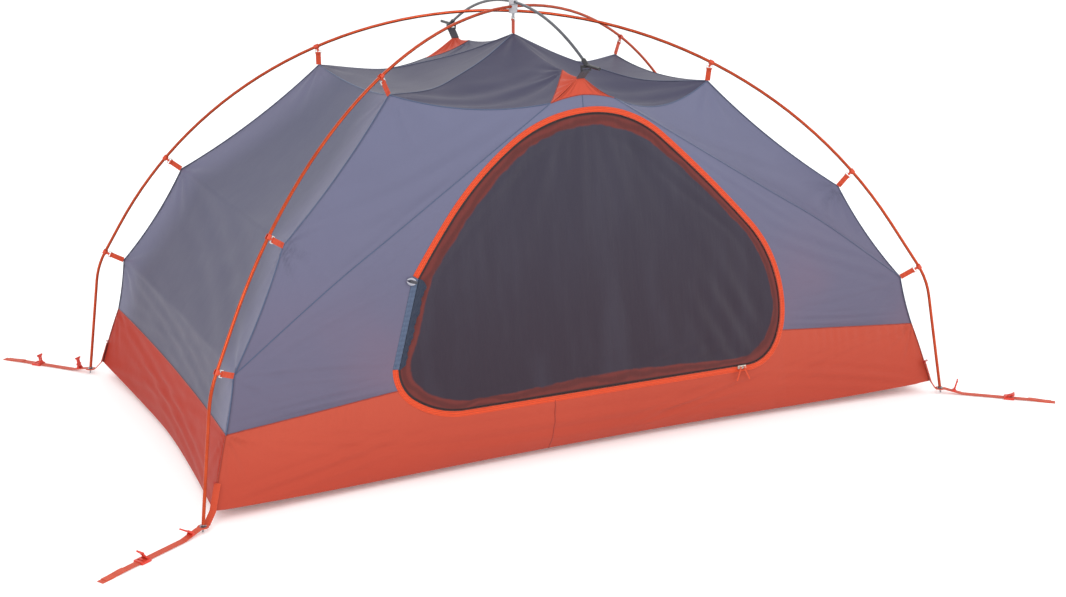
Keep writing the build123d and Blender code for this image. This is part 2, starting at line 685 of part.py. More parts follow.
facets = {}
for side in SIDES:
    door = SIDE_NAMES[side]
    middle, edge = ("patch_middle", side), ("floor_middle", side)
    top, back = ("patch_point", side), ("patch_back", side)
    facets[f"roof_{door}"] = []
    facets[f"{door}_patch"] = []
    facets[f"tub_{door}"] = []
    for end in ENDS:
        k = corner_keys(end, side)
        facets[f"roof_{door}"] += [["peak", k["roof_seam"], back], [k["roof_seam"], k["patch"], back],
                                   [k["roof_seam"], k["roof_edge"], k["patch"]],
                                   [k["roof_seam"], k["high"], k["roof_edge"]]]
        facets[f"{door}_patch"] += [[back, k["patch"], top], [top, k["patch"], middle]]
        facets[f"wall_{door}_{END_NAMES[end]}_upper"] = [
            [k["low"], k["middle"], k["seam_bend"]], [k["middle"], k["patch"], k["seam_bend"]],
            [k["middle"], k["high"], k["roof_edge"]], [k["middle"], k["roof_edge"], k["patch"]]]
        facets[f"wall_{door}_{END_NAMES[end]}_lower"] = [
            [k["tub"], k["low"], k["tub_bend"]], [k["low"], k["seam_bend"], k["tub_bend"]]]
        facets[f"tub_{door}"] += [
            [k["tub"], k["tub_bend"], k["floor"]], [k["tub_bend"], k["fold"], k["floor"]],
            [k["fold"], k["floor_edge"], k["floor"]], [k["fold"], edge, k["floor_edge"]],
            [k["floor"], k["floor_edge"], k["flat"]], [k["floor_edge"], edge, k["flat"]]]
    head, foot = corner_keys(HEAD, side), corner_keys(FOOT, side)
    facets[f"tub_{door}"] += [[head["fold"], foot["fold"], edge], [head["flat"], edge, foot["flat"]]]
for end in ENDS:
    name = END_NAMES[end]
    front, back = corner_keys(end, FRONT), corner_keys(end, BACK)
    low = ("floor_end", end)
    low_bow, high_bow = ("end_wall", 0, end), ("end_wall", 1, end)
    facets[f"wall_{name}"] = [[front["tub"], low_bow, back["tub"]], [front["high"], high_bow, back["high"]]]
    for corner in (front, back):
        facets[f"wall_{name}"] += [[corner["tub"], corner["low"], low_bow],
                                   [corner["low"], high_bow, low_bow],
                                   [corner["low"], corner["middle"], high_bow],
                                   [corner["middle"], corner["high"], high_bow]]
    facets[f"roof_{name}"] = [["peak", front["roof_seam"], back["roof_seam"]],
                              [front["roof_seam"], front["high"], back["high"], back["roof_seam"]]]
    facets[f"tub_{name}"] = [[front["tub"], low, back["tub"]], [front["tub"], front["floor"], low],
                             [back["tub"], low, back["floor"]], [front["floor"], front["flat"], low],
                             [back["floor"], low, back["flat"]], [front["flat"], back["flat"], low]]

middle_of_tent = Vector(0, 0, peak_height / 2)


def facet_normal(keys):
    """A facet's area vector, pointing out of the tent."""
    corners = [point[key] for key in keys]
    area = Vector(0, 0, 0)
    for a, b in zip(corners[1:], corners[2:]):
        area += (a - corners[0]).cross(b - corners[0])
    centre = sum(corners, Vector(0, 0, 0)) * (1 / len(corners))
    return area if area.dot(centre - middle_of_tent) > 0 else area * -1


def outward(keys):
    """A facet's keys, turned so that it faces out of the tent."""
    corners = [point[key] for key in keys]
    area = (corners[1] - corners[0]).cross(corners[2] - corners[0])
    return keys if area.dot(facet_normal(keys)) > 0 else keys[::-1]


wall_normal = {side: Vector(0, side * cos(radians(wall_lean)), sin(radians(wall_lean))) for side in SIDES}
slant = {key: Vector(0, 0, 0) for key in point}
for panel in facets.values():
    for keys in panel:
        for key in keys:
            slant[key] += facet_normal(keys)
for key in point:
    if key[0] in in_wall:
        slant[key] = wall_normal[key[-1]]
    if key[0] == "flat":
        slant[key] = Vector(0, 0, -1)
inner = {key: point[key] - slant[key].normalized() * fabric for key in point}


def polygon(corners):
    """A flat face through its corners."""
    return Face(Wire.make_polygon(corners, close=True))


def sheet(panel):
    """A fabric panel as one closed solid: its facets, their inner faces and the edges."""
    faces = []
    edges = {}
    for keys in panel:
        turned = outward(keys)
        faces.append(polygon([point[key] for key in turned]))
        inner_corners = [inner[key] for key in turned[::-1]]
        for second, third in zip(inner_corners[1:], inner_corners[2:]):
            faces.append(polygon([inner_corners[0], second, third]))
        for a, b in zip(turned, turned[1:] + turned[:1]):
            edges[a, b] = (b, a) in edges
            if edges[a, b]:
                edges[b, a] = True
    for (a, b), shared in edges.items():
        if shared:
            continue
        low, high = sorted((a, b), key=str)
        faces.append(polygon([point[low], point[high], inner[high]]))
        faces.append(polygon([point[low], inner[high], inner[low]]))
    return Solid(Shell(faces))


def wall_plane(side):
    """A door wall's outer face: local x to the right from outside, local y up the wall."""
    return Plane(origin=(0, side * wall_foot_y, 0), x_dir=(-side, 0, 0), z_dir=wall_normal[side])


def on_wall(side, place):
    """A point of a door wall in that wall's own plane."""
    local = wall_plane(side).to_local_coords(place)
    return (local.X, local.Y)


def door_area(growth):
    """The door's outline as a flat area, grown or shrunk."""
    with BuildSketch() as area:
        with BuildLine():
            bottom = Line(door_bottom_start, door_bottom_end)
            arc = bottom
            for corner in door_curve:
                arc = TangentArc(arc @ 1, corner, tangent=arc % 1)
            hinge = Line(hinge_top, hinge_bottom)
            low_arc = TangentArc(hinge @ 1, door_low_corner, tangent=door_low_tangent)
            TangentArc(low_arc @ 1, bottom @ 0, tangent=low_arc % 1)
        make_face()
        if growth:
            offset(amount=growth)
    return area.sketch


door_hole = door_area(-tape_half_width)
for side in SIDES:
    door = SIDE_NAMES[side]
    for end in ENDS:
        k = corner_keys(end, side)
        edge = on_wall(side, wall_point(side, end * door_edge_x, tub_door_height[end]))
        centre = ("patch_middle", side)
        outline = [on_wall(side, point[key]) for key in (k["tub_bend"], k["seam_bend"], k["patch"], centre)]
        with BuildPart() as wall_lower:
            with BuildSketch(wall_plane(side)):
                with BuildLine():
                    Polyline(*outline, (0, edge[1]), edge, close=True)
                make_face()
                add(door_hole, mode=Mode.SUBTRACT)
            extrude(amount=-fabric)
            add(sheet(facets[f"wall_{door}_{END_NAMES[end]}_lower"]))
        write(wall_lower.part, f"wall_{door}_{END_NAMES[end]}_lower")
        with BuildPart() as wall_upper:
            add(sheet(facets[f"wall_{door}_{END_NAMES[end]}_upper"]))
        write(wall_upper.part, f"wall_{door}_{END_NAMES[end]}_upper")

    tub_top = []
    for end in ENDS:
        k = corner_keys(end, side)
        edge = on_wall(side, wall_point(side, end * door_edge_x, tub_door_height[end]))
        half = [on_wall(side, point[k["fold"]]), on_wall(side, point[k["tub_bend"]]), edge, (0, edge[1])]
        tub_top += half if end == HEAD else half[::-1]
    with BuildPart() as tub_wall:
        with BuildSketch(wall_plane(side)):
            with BuildLine():
                Polyline(*tub_top, close=True)
            make_face()
            add(door_hole, mode=Mode.SUBTRACT)
        extrude(amount=-fabric)
        add(sheet(facets[f"tub_{door}"]))
    write(tub_wall.part, f"tub_{door}")

for name in ("roof_front", "roof_back", "roof_head", "roof_foot", "wall_head", "wall_foot",
             "tub_head", "tub_foot"):
    with BuildPart() as panel_part:
        add(sheet(facets[name]))
    write(panel_part.part, name)

with BuildPart() as brow_patches:
    for side in SIDES:
        add(sheet(facets[f"{SIDE_NAMES[side]}_patch"]))
write(brow_patches.part, "brow_patches")

with BuildPart() as floor_sheet:
    with BuildSketch():
        with BuildLine():
            flat_corners = [("flat", HEAD, FRONT), ("flat", FOOT, FRONT),
                            ("flat", FOOT, BACK), ("flat", HEAD, BACK)]
            Polyline(*[(point[key].X, point[key].Y) for key in flat_corners], close=True)
        make_face()
    extrude(amount=fabric)
write(floor_sheet.part, "floor_sheet")


# === doors: panel, zip, hinge binding, toggle, sliders and pulls ==============================
hinge_along = (Vector(*hinge_top) - Vector(*hinge_bottom)).normalized()
hinge_inward = Vector(hinge_along.Y, -hinge_along.X)
hinge_strip = [Vector(*corner) + hinge_inward * shift
               for shift, corners in ((-2 * tape_half_width, (hinge_bottom, hinge_top)),
                                      (2 * tape_half_width, (hinge_top, hinge_bottom)))
               for corner in corners]
with BuildSketch() as hinge_zone:
    with BuildLine():
        Polyline(*[(corner.X, corner.Y) for corner in hinge_strip], close=True)
    make_face()
with BuildSketch() as tape_ring:
    add(door_area(tape_half_width))
    add(door_hole, mode=Mode.SUBTRACT)
with BuildSketch() as zip_tape:
    add(tape_ring.sketch)
    add(hinge_zone.sketch, mode=Mode.SUBTRACT)
with BuildSketch() as hinge_binding:
    add(tape_ring.sketch)
    add(hinge_zone.sketch, mode=Mode.INTERSECT)
with BuildSketch() as zip_coil:
    add(door_area(coil_width - tape_half_width))
    add(door_hole, mode=Mode.SUBTRACT)
    add(hinge_zone.sketch, mode=Mode.SUBTRACT)
door_panel_area = door_area(-tape_half_width - door_gap)

for side in SIDES:
    door = SIDE_NAMES[side]
    with BuildPart() as door_panel:
        with BuildSketch(wall_plane(side)):
            add(door_panel_area)
        extrude(amount=-fabric)
    write(door_panel.part, f"{door}_door_panel")
    with BuildPart() as door_zip:
        with BuildSketch(wall_plane(side)):
            add(zip_tape.sketch)
        extrude(amount=tape_thickness)
        with BuildSketch(wall_plane(side)):
            add(zip_coil.sketch)
        extrude(amount=tape_thickness + coil_height)
    write(door_zip.part, f"{door}_door_zip")

with BuildPart() as door_bindings:
    for side in SIDES:
        with BuildSketch(wall_plane(side)):
            add(hinge_binding.sketch)
        extrude(amount=binding_thickness)
write(door_bindings.part, "door_bindings")

toggle_shift = 5.5           # it lies this far outside the hinge's line, clear of the opening door
toggle_tab = 8.0
with BuildPart() as door_toggles:
    for side in SIDES:
        place = Vector(*hinge_top) - hinge_along * toggle_place - hinge_inward * toggle_shift
        across = wall_plane(side).x_dir * hinge_inward.X + wall_plane(side).y_dir * hinge_inward.Y
        rest = wall_plane(side).from_local_coords((place.X, place.Y, binding_thickness))
        with Locations(Plane(origin=rest, x_dir=across, z_dir=wall_plane(side).z_dir)):
            Box(toggle_tab, toggle_tab, tape_thickness + door_gap,
                align=(Align.CENTER, Align.CENTER, Align.MIN))
            with Locations((0, 0, tape_thickness + toggle_radius)):
                Cylinder(toggle_radius, toggle_length, rotation=(0, 90, 0))
write(door_toggles.part, "door_toggles")

run_along = (Vector(*door_bottom_end) - Vector(*door_bottom_start)).normalized()
slider_gap = 0.5
coil_low = tape_half_width - coil_width
slider_foot = tape_thickness + slider_clearance
slider_top = slider_foot + slider_height
pull_pin_height = slider_top + pull_eye_radius + slider_clearance
pull_pin_offset = 3.5        # the pin sits this far inside the zip's line
pull_ear = 1.6
pull_neck = 5.0
pull_thickness = 2.4
slider_low_side = tape_half_width - slider_width


def slider_plane(side, direction):
    """A slider's place on the zip's straight run: local x along it, y to the door, z outward."""
    shift = slider_place + direction * (slider_length + slider_gap) / 2
    start = Vector(*door_bottom_start)
    origin = start + run_along * (shift - start.X)
    wall = wall_plane(side)
    x_dir = wall.x_dir * run_along.X + wall.y_dir * run_along.Y
    return Plane(origin=wall.from_local_coords((origin.X, origin.Y, 0)), x_dir=x_dir, z_dir=wall.z_dir)


for side in SIDES:
    for direction, slider_name in ((-1, "long"), (1, "short")):
        place = slider_plane(side, direction)
        ear_shift = pull_width / 2 + slider_clearance + pull_ear / 2
        with BuildPart() as slider:
            with Locations(place):
                with Locations((0, slider_low_side + slider_width / 2, slider_foot + slider_height / 2)):
                    Box(slider_length, slider_width, slider_height)
                with Locations((0, coil_low + coil_width / 2, slider_foot + coil_height / 2)):
                    Box(slider_length * 2, coil_width + 2 * slider_clearance, coil_height,
                        mode=Mode.SUBTRACT)
                for sign in (-1, 1):
                    with Locations((sign * ear_shift, pull_pin_offset, (slider_top + pull_pin_height) / 2)):
                        Box(pull_ear, pull_pin_offset, pull_pin_height - slider_top + pull_ear)
                with Locations((0, pull_pin_offset, pull_pin_height)):
                    Cylinder(pull_pin_radius, ear_shift * 2, rotation=(0, 90, 0))
        write(slider.part, f"{SIDE_NAMES[side]}_slider_{slider_name}")

        with BuildPart() as pull:
            with Locations(place):
                with Locations((0, pull_pin_offset, pull_pin_height)):
                    Cylinder(pull_eye_radius, pull_width, rotation=(0, 90, 0))
                    with Locations((0, -pull_neck / 2, 0)):
                        Box(pull_width, pull_neck, pull_thickness)
                    splay = Location((0, -pull_neck + pull_width / 4, 0), (0, 0, direction * pull_splay))
                    with Locations(splay):
                        Box(pull_width, pull_length, pull_thickness,
                            align=(Align.CENTER, Align.MAX, Align.CENTER))
                    Cylinder(pull_pin_radius + slider_clearance, pull_width * 2, rotation=(0, 90, 0),
                             mode=Mode.SUBTRACT)
        write(pull.part, f"{SIDE_NAMES[side]}_pull_{slider_name}")


# === clips, rings and webbing between the poles and the canopy =================================
clip_bore = pole_radius + clip_clearance
clip_radius = clip_bore + clip_wall
hook_inset = 3.0
hook_place = clip_tail - hook_inset
hook_bore = 1.9
hook_width = 6.0
web_end_gap = 0.6
ring_width = web_width + 2 * (ring_bar + clip_clearance * 2)
far_bar = ring_depth - ring_bar
up = Vector(0, 0, 1)


def ring_plane(hook, target, across):
    """A ring's plane: local x from the hook towards the sewn end, local y across."""
    along = (target - hook).normalized()
    return Plane(origin=hook, x_dir=along, z_dir=along.cross(across))


def web_plane(hook, target, across):
    """The edge-on plane of a ring's webbing: local x towards the sewn end."""
    return Plane(origin=hook, x_dir=(target - hook).normalized(), z_dir=across)


pole_clip_planes = []
hooks = []
for end, side in CORNERS:
    outward_way = corner_point(end, side, 1, 0)
    for index in range(3):
        height = clip_heights[end][index]
        reach, slope = pole_station(end, corner_crown(end, side), height)
        axis = corner_point(end, side, reach, height)
        to_canopy = outward_way * -cos(slope) - up * sin(slope)
        tangent = up * cos(slope) - outward_way * sin(slope)
        pole_clip_planes.append(Plane(origin=axis, x_dir=to_canopy, z_dir=tangent))
        hook = axis + to_canopy * hook_place
        target = point["clip", index, end, side]
        hooks.append((hook, target, outward_way.cross(up).cross(target - hook).normalized()))

with BuildPart() as pole_clips:
    for plane, (hook, target, across) in zip(pole_clip_planes, hooks):
        with BuildSketch(plane):
            Circle(clip_radius)
            Circle(clip_bore, mode=Mode.SUBTRACT)
            with Locations((-clip_radius, 0)):
                Rectangle(clip_radius, clip_mouth, mode=Mode.SUBTRACT)
        extrude(amount=clip_length / 2, both=True)
        with BuildSketch(plane):
            with Locations(((clip_radius - clip_wall / 2 + clip_tail) / 2, 0)):
                Rectangle(clip_tail - clip_radius + clip_wall / 2, hook_width)
        extrude(amount=hook_width / 2, both=True)
        with Locations(Plane(origin=hook, z_dir=across)):
            Cylinder(hook_bore, hook_width * 2, mode=Mode.SUBTRACT)
write(pole_clips.part, "pole_clips")

crossing_planes = []
for crown in (crown_height, upper_crown):
    crossing_angle = asin(crown_shift / pole_half(FOOT, crown)["radius"])
    crossing_planes.append((joint_plane(FOOT, crown, crossing_angle), pole_radius))
crossing_planes.append((Plane(origin=(0, 0, brow_crown), z_dir=(0, 1, 0)), brow_pole_radius))
hub_block = pole_spacing - hub_gap
hub_hook = Vector(0, 0, crossing_planes[0][0].origin.Z - hub_block / 2 - hook_place)
hooks.append((hub_hook, point["peak"], Vector(0, 1, 0)))
with BuildPart() as hub_clips:
    for plane, bore in crossing_planes:
        with Locations((0, 0, plane.origin.Z)):
            Cylinder(hub_radius, hub_block)
        with Locations(plane):
            Cylinder(bore + clip_clearance, hub_radius * 3, mode=Mode.SUBTRACT)
    with Locations(hub_hook):
        with Locations((0, 0, hook_place + hub_gap)):
            Box(hook_width, hook_width, clip_tail + hub_gap, align=(Align.CENTER, Align.CENTER, Align.MAX))
        Cylinder(hook_bore, hook_width * 2, rotation=(90, 0, 0), mode=Mode.SUBTRACT)
write(hub_clips.part, "hub_clips")

with BuildPart() as clip_rings:
    for hook, target, across in hooks:
        with BuildSketch(ring_plane(hook, target, across)):
            with Locations((far_bar / 2, 0)):
                Rectangle(ring_depth, ring_width)
                Rectangle(ring_depth - 2 * ring_bar, ring_width - 2 * ring_bar, mode=Mode.SUBTRACT)
        extrude(amount=ring_thickness / 2, both=True)
write(clip_rings.part, "clip_rings")

with BuildPart() as clip_webbing:
    for hook, target, across in hooks:
        length = (target - hook).length - web_end_gap
        with BuildSketch(web_plane(hook, target, across)):
            with Locations((far_bar, 0)):
                Circle(hook_bore + web_thickness)
            with Locations(((far_bar + length) / 2, 0)):
                Rectangle(length - far_bar, 2 * web_thickness)
            with Locations((far_bar, 0)):
                Circle(hook_bore, mode=Mode.SUBTRACT)
        extrude(amount=web_width / 2, both=True)
write(clip_webbing.part, "clip_webbing")


# === brow pole ================================================================================
brow_rise = brow_crown - brow_end_height
brow_radius = (brow_half_span ** 2 + brow_rise ** 2) / (2 * brow_rise)
brow_slope = asin(brow_half_span / brow_radius)
brow_socket_bore = brow_pole_radius + 2 * clip_clearance
brow_socket = brow_socket_bore + brow_socket_wall
brow_bar_radius = 4.5
brow_eye_inset = 6.0         # the strap's bar lies this far in from the pole's end
brow_eye_drop = 15.0
brow_eye_bar = 1.8
brow_arm = 8.0
brow_ear = 2.5

with BuildPart() as brow_pole:
    with BuildLine(Plane.YZ) as brow_line:
        ThreePointArc((-brow_half_span, brow_end_height), (0, brow_crown), (brow_half_span, brow_end_height))
    brow_axis = brow_line.wires()[0]
    sweep(sections=crosswise(brow_axis, brow_pole_radius, brow_pole_radius - pole_wall), path=brow_axis)
write(brow_pole.part, "brow_pole")

with BuildPart() as brow_end_fittings:
    for side in SIDES:
        tip = Vector(0, side * brow_half_span, brow_end_height)
        inward_way = Vector(0, -side * cos(brow_slope), sin(brow_slope))
        arm_place = tip + Vector(0, -side * brow_eye_inset, 0)
        ear_shift = brow_web_width / 2 + clip_clearance + brow_ear / 2
        with Locations(tip):
            Sphere(brow_socket)
        with Locations(Plane(origin=tip, z_dir=inward_way)):
            Cylinder(brow_socket, brow_socket_depth, align=(Align.CENTER, Align.CENTER, Align.MIN))
        with Locations(Plane(origin=tip, z_dir=(0, side, 0))):
            Cylinder(brow_bar_radius, brow_fitting_tail, align=(Align.CENTER, Align.CENTER, Align.MIN))
        with Locations(arm_place - up * brow_arm / 2):
            Box(2 * ear_shift + brow_ear, brow_arm, brow_arm)
        for sign in (-1, 1):
            with Locations(arm_place + Vector(sign * ear_shift, 0, -(brow_arm + brow_eye_drop) / 2)):
                Box(brow_ear, brow_arm * 0.7, brow_eye_drop - brow_arm + 2 * brow_eye_bar)
        with Locations(arm_place - up * brow_eye_drop):
            Cylinder(brow_eye_bar, 2 * ear_shift, rotation=(0, 90, 0))
        with Locations(Plane(origin=tip, z_dir=inward_way)):
            Cylinder(brow_socket_bore, brow_socket_depth * 2, align=(Align.CENTER, Align.CENTER, Align.MIN),
                     mode=Mode.SUBTRACT)
write(brow_end_fittings.part, "brow_end_fittings")

with BuildPart() as brow_straps:
    for side in SIDES:
        bar = Vector(0, side * (brow_half_span - brow_eye_inset), brow_end_height - brow_eye_drop)
        sewn = point["patch_point", side]
        length = (sewn - bar).length - web_end_gap
        with BuildSketch(web_plane(bar, sewn, Vector(1, 0, 0))):
            Circle(brow_eye_bar + clip_clearance + web_thickness)
            with Locations((length / 2, 0)):
                Rectangle(length, 2 * web_thickness)
            Circle(brow_eye_bar + clip_clearance, mode=Mode.SUBTRACT)
        extrude(amount=brow_web_width / 2, both=True)
write(brow_straps.part, "brow_straps")
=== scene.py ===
"""Looks of the dome tent: curved fabric, seams, doors with zips, webbing and materials.

Shapes are worked out in millimetres and turned into metres where a mesh is made.
"""
from math import atan2, cos, pi, radians, sin, tan

import bmesh
import bpy
import numpy as np
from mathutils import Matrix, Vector
from numpy.linalg import norm


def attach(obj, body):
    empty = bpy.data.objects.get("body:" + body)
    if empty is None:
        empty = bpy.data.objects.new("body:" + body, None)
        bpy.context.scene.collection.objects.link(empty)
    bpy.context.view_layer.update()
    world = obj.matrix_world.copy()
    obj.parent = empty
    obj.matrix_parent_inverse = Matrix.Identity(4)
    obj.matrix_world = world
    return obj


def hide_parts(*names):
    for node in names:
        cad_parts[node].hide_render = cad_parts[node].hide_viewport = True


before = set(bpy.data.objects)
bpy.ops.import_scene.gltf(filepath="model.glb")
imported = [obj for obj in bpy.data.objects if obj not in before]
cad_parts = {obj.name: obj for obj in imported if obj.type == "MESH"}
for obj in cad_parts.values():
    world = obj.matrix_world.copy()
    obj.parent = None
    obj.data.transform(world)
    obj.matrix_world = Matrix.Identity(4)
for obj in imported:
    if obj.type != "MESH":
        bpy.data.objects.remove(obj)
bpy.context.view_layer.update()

scene = bpy.context.scene
MM = 0.001
HEAD, FOOT = -1, 1
FRONT, BACK = -1, 1
ENDS, SIDES = (HEAD, FOOT), (FRONT, BACK)
END_NAMES = {HEAD: "head", FOOT: "foot"}
SIDE_NAMES = {FRONT: "front", BACK: "back"}
MIDDLE = np.array([0.0, 0.0, 450.0])  # a point inside the tent, to tell outside from inside
LEAN = radians(11.04)  # a door wall leans in by this angle
WALL_FOOT_Y = 634.2  # a door wall meets the ground here
SHEET_ROOM = 4.0  # both faces of a CAD sheet's corner lie within this


# === points of the canopy, read from the frame ===
def node_places(node):
    """A CAD node's vertices, in mm."""
    return np.array([vertex.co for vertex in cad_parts[node].data.vertices]) / MM


def corner_of(node, *rough):
    """The outer corner of a CAD sheet that is nearest to a rough place in metres, in mm."""
    places = node_places(node)
    away = norm(places - np.array(rough) / MM, axis=1)
    near = places[away < away.min() + SHEET_ROOM]
    return near[norm(near - MIDDLE, axis=1).argmax()]


# Each corner's node and rough place in metres, given for the foot end and the back.
PATCH_CORNERS = {"patch_back": (0.322, 1.034), "patch_point": (0.430, 1.027), "patch_middle": (0.442, 0.983)}
END_CORNERS = {
    "floor": ("tub_{end}", 1.126, 0.636, 0.040), "tub": ("wall_{end}", 1.075, 0.597, 0.220),
    "low": ("wall_{end}", 1.043, 0.588, 0.371), "middle": ("wall_{end}", 0.870, 0.490, 0.658),
    "high": ("wall_{end}", 0.506, 0.285, 0.979), "patch": ("brow_patches", 0.099, 0.445, 0.967),
    "edge": ("roof_{side}", 0.303, 0.365, 0.941), "bend": ("wall_{side}_{end}_upper", 0.760, 0.527, 0.547),
}
peak = corner_of("roof_head", 0, 0, 1.096)
floor_end = {end: corner_of(f"tub_{END_NAMES[end]}", end * 1.081, 0, 0.019) for end in ENDS}
corner = {}
for side in SIDES:
    for name, (y, z) in PATCH_CORNERS.items():
        corner[name, side] = corner_of("brow_patches", 0, side * y, z)
    for end in ENDS:
        for name, (node, x, y, z) in END_CORNERS.items():
            node = node.format(end=END_NAMES[end], side=SIDE_NAMES[side])
            corner[name, end, side] = corner_of(node, end * x, side * y, z)


def corners(end, side, *names):
    return [corner[name, end, side] for name in names]


# === curves and surfaces ===
def resample(points, count):
    """count + 1 points evenly spaced along a polyline."""
    points = np.asarray(points, float)
    along = np.concatenate([[0], np.cumsum(norm(np.diff(points, axis=0), axis=1))])
    at = np.linspace(0, along[-1], count + 1)
    return np.stack([np.interp(at, along, points[:, k]) for k in range(points.shape[1])], 1)


def smooth_curve(points, count):
    """A Catmull-Rom curve through points, evenly spaced."""
    knots = [np.asarray(point, float) for point in points]
    knots = [2 * knots[0] - knots[1]] + knots + [2 * knots[-1] - knots[-2]]
    fine = []
    for a, b, c, d in zip(knots, knots[1:], knots[2:], knots[3:]):
        for t in np.linspace(0, 1, 24, endpoint=False):
            fine.append(0.5 * (2 * b + (c - a) * t + (2 * a - 5 * b + 4 * c - d) * t * t
                               + (3 * b - 3 * c + d - a) * t ** 3))
    return resample(fine + [knots[-2]], count)


def bowed(start, finish, pull, count):
    """From start to finish, pulled by a vector at its middle."""
    t = np.linspace(0, 1, count + 1)[:, None]
    return np.asarray(start) * (1 - t) + np.asarray(finish) * t + np.asarray(pull, float) * 4 * t * (1 - t)


def coons(bottom, top, left, right):
    """A grid spanned by four curves; left and right run from bottom to top."""
    u = np.linspace(0, 1, len(bottom))[None, :, None]
    v = np.linspace(0, 1, len(left))[:, None, None]
    ruled = (1 - v) * bottom[None] + v * top[None] + (1 - u) * left[:, None] + u * right[:, None]
    pinned = ((1 - u) * (1 - v) * bottom[0] + u * (1 - v) * bottom[-1]
              + (1 - u) * v * top[0] + u * v * top[-1])
    return ruled - pinned


def unit(vectors):
    vectors = np.asarray(vectors, float)
    return vectors / np.maximum(norm(vectors, axis=-1, keepdims=True), 1e-9)


def outward_normals(grid):
    """A grid's unit normals, pointing out of the tent."""
    normals = unit(np.cross(np.gradient(grid, axis=1), np.gradient(grid, axis=0)))
    facing = np.sign((normals * (grid - MIDDLE)).sum())
    return normals * facing


def shares(grid):
    """How far along and how far up a grid each of its points is, from 0 to 1."""
    return np.linspace(0, 1, grid.shape[1])[None, :], np.linspace(0, 1, grid.shape[0])[:, None]


def smoothstep(share):
    return share * share * (3 - 2 * share)


def settled(grid, calm, width):
    """A folded grid that turns calm over this width at its border: folds die out in the seams."""
    across = norm(np.diff(grid, axis=1), axis=2).mean() * np.arange(grid.shape[1])
    along = norm(np.diff(grid, axis=0), axis=2).mean() * np.arange(grid.shape[0])
    u = np.minimum(across, across[-1] - across)[None, :]
    v = np.minimum(along, along[-1] - along)[:, None]
    return calm + (grid - calm) * smoothstep(np.clip(np.minimum(u, v) / width, 0, 1))[..., None]


def pleats(grid, *rows):
    """Fine folds that fan out from pinned places.

    A row is a pin, the reach and depth in mm, how many folds a full turn holds, and a phase.
    """
    pin_calm, steep = 20, 0.8
    for pin, reach, depth, count, phase in rows:
        normals = outward_normals(grid)
        away = grid - pin
        far = norm(away, axis=2)
        flat = away - normals * (away * normals).sum(2, keepdims=True)
        guide = np.array([0.0, 0.0, 1.0] if abs(normals[..., 2].mean()) < steep else [1.0, 0.0, 0.0])
        sideways = np.cross(normals, guide)
        angle = np.arctan2((flat * sideways).sum(2), (flat * guide).sum(2))
        fade = np.clip(far / pin_calm, 0, 1) * np.exp(-(far / reach) ** 2)
        wave = np.sin(angle * count + phase) + 0.5 * np.sin(angle * count * 1.7 + 2 * phase)
        grid = grid + normals * (wave * fade * depth)[..., None]
    return grid


def folds(grid, *rows):
    """Long folds side by side; a row is a start, a finish, the width, pitch and depth in mm, and a phase."""
    for start, finish, width, pitch, depth, phase in rows:
        normals = outward_normals(grid)
        ahead = unit(finish - start)
        away = grid - start
        along = np.clip((away @ ahead) / norm(finish - start), 0, 1)
        across = (away * unit(np.cross(normals, ahead))).sum(2)
        fade = np.sin(pi * along) ** 0.7 * np.exp(-(across / width) ** 2)
        wave = np.sin(2 * pi * across / pitch + phase + 1.4 * np.sin(pi * along))
        grid = grid + normals * (wave * fade * depth)[..., None]
    return grid


def on_wall(u, v, n, side):
    """A place on a door wall: u to the right from outside, v up the wall, n outward."""
    u, v, n = np.broadcast_arrays(np.asarray(u, float), v, n)
    return np.stack([-side * u, side * (WALL_FOOT_Y - v * sin(LEAN) + n * cos(LEAN)),
                     v * cos(LEAN) + n * sin(LEAN)], -1)


def wall_uv(places, side):
    """u and v of places near a door wall."""
    v = places[:, 2] * cos(LEAN) + (WALL_FOOT_Y - side * places[:, 1]) * sin(LEAN)
    return np.stack([-side * places[:, 0], v], 1)


def wall_place(x, height, side):
    """A place on a door wall, given by its height above the ground."""
    y = side * (WALL_FOOT_Y - height * tan(LEAN))
    return np.stack(np.broadcast_arrays(np.asarray(x, float), y, height), -1)


def joined(*runs):
    """One line from runs that each start where the one before ends."""
    return np.vstack([runs[0]] + [run[1:] for run in runs[1:]])


def around(count):
    return np.linspace(0, 2 * pi, count, endpoint=False)


# === meshes ===
SLIVER = 1e-11  # faces smaller than this are dropped, in square metres


def placed(name, data):
    made = bpy.data.objects.new(name, data)
    scene.collection.objects.link(made)
    return made


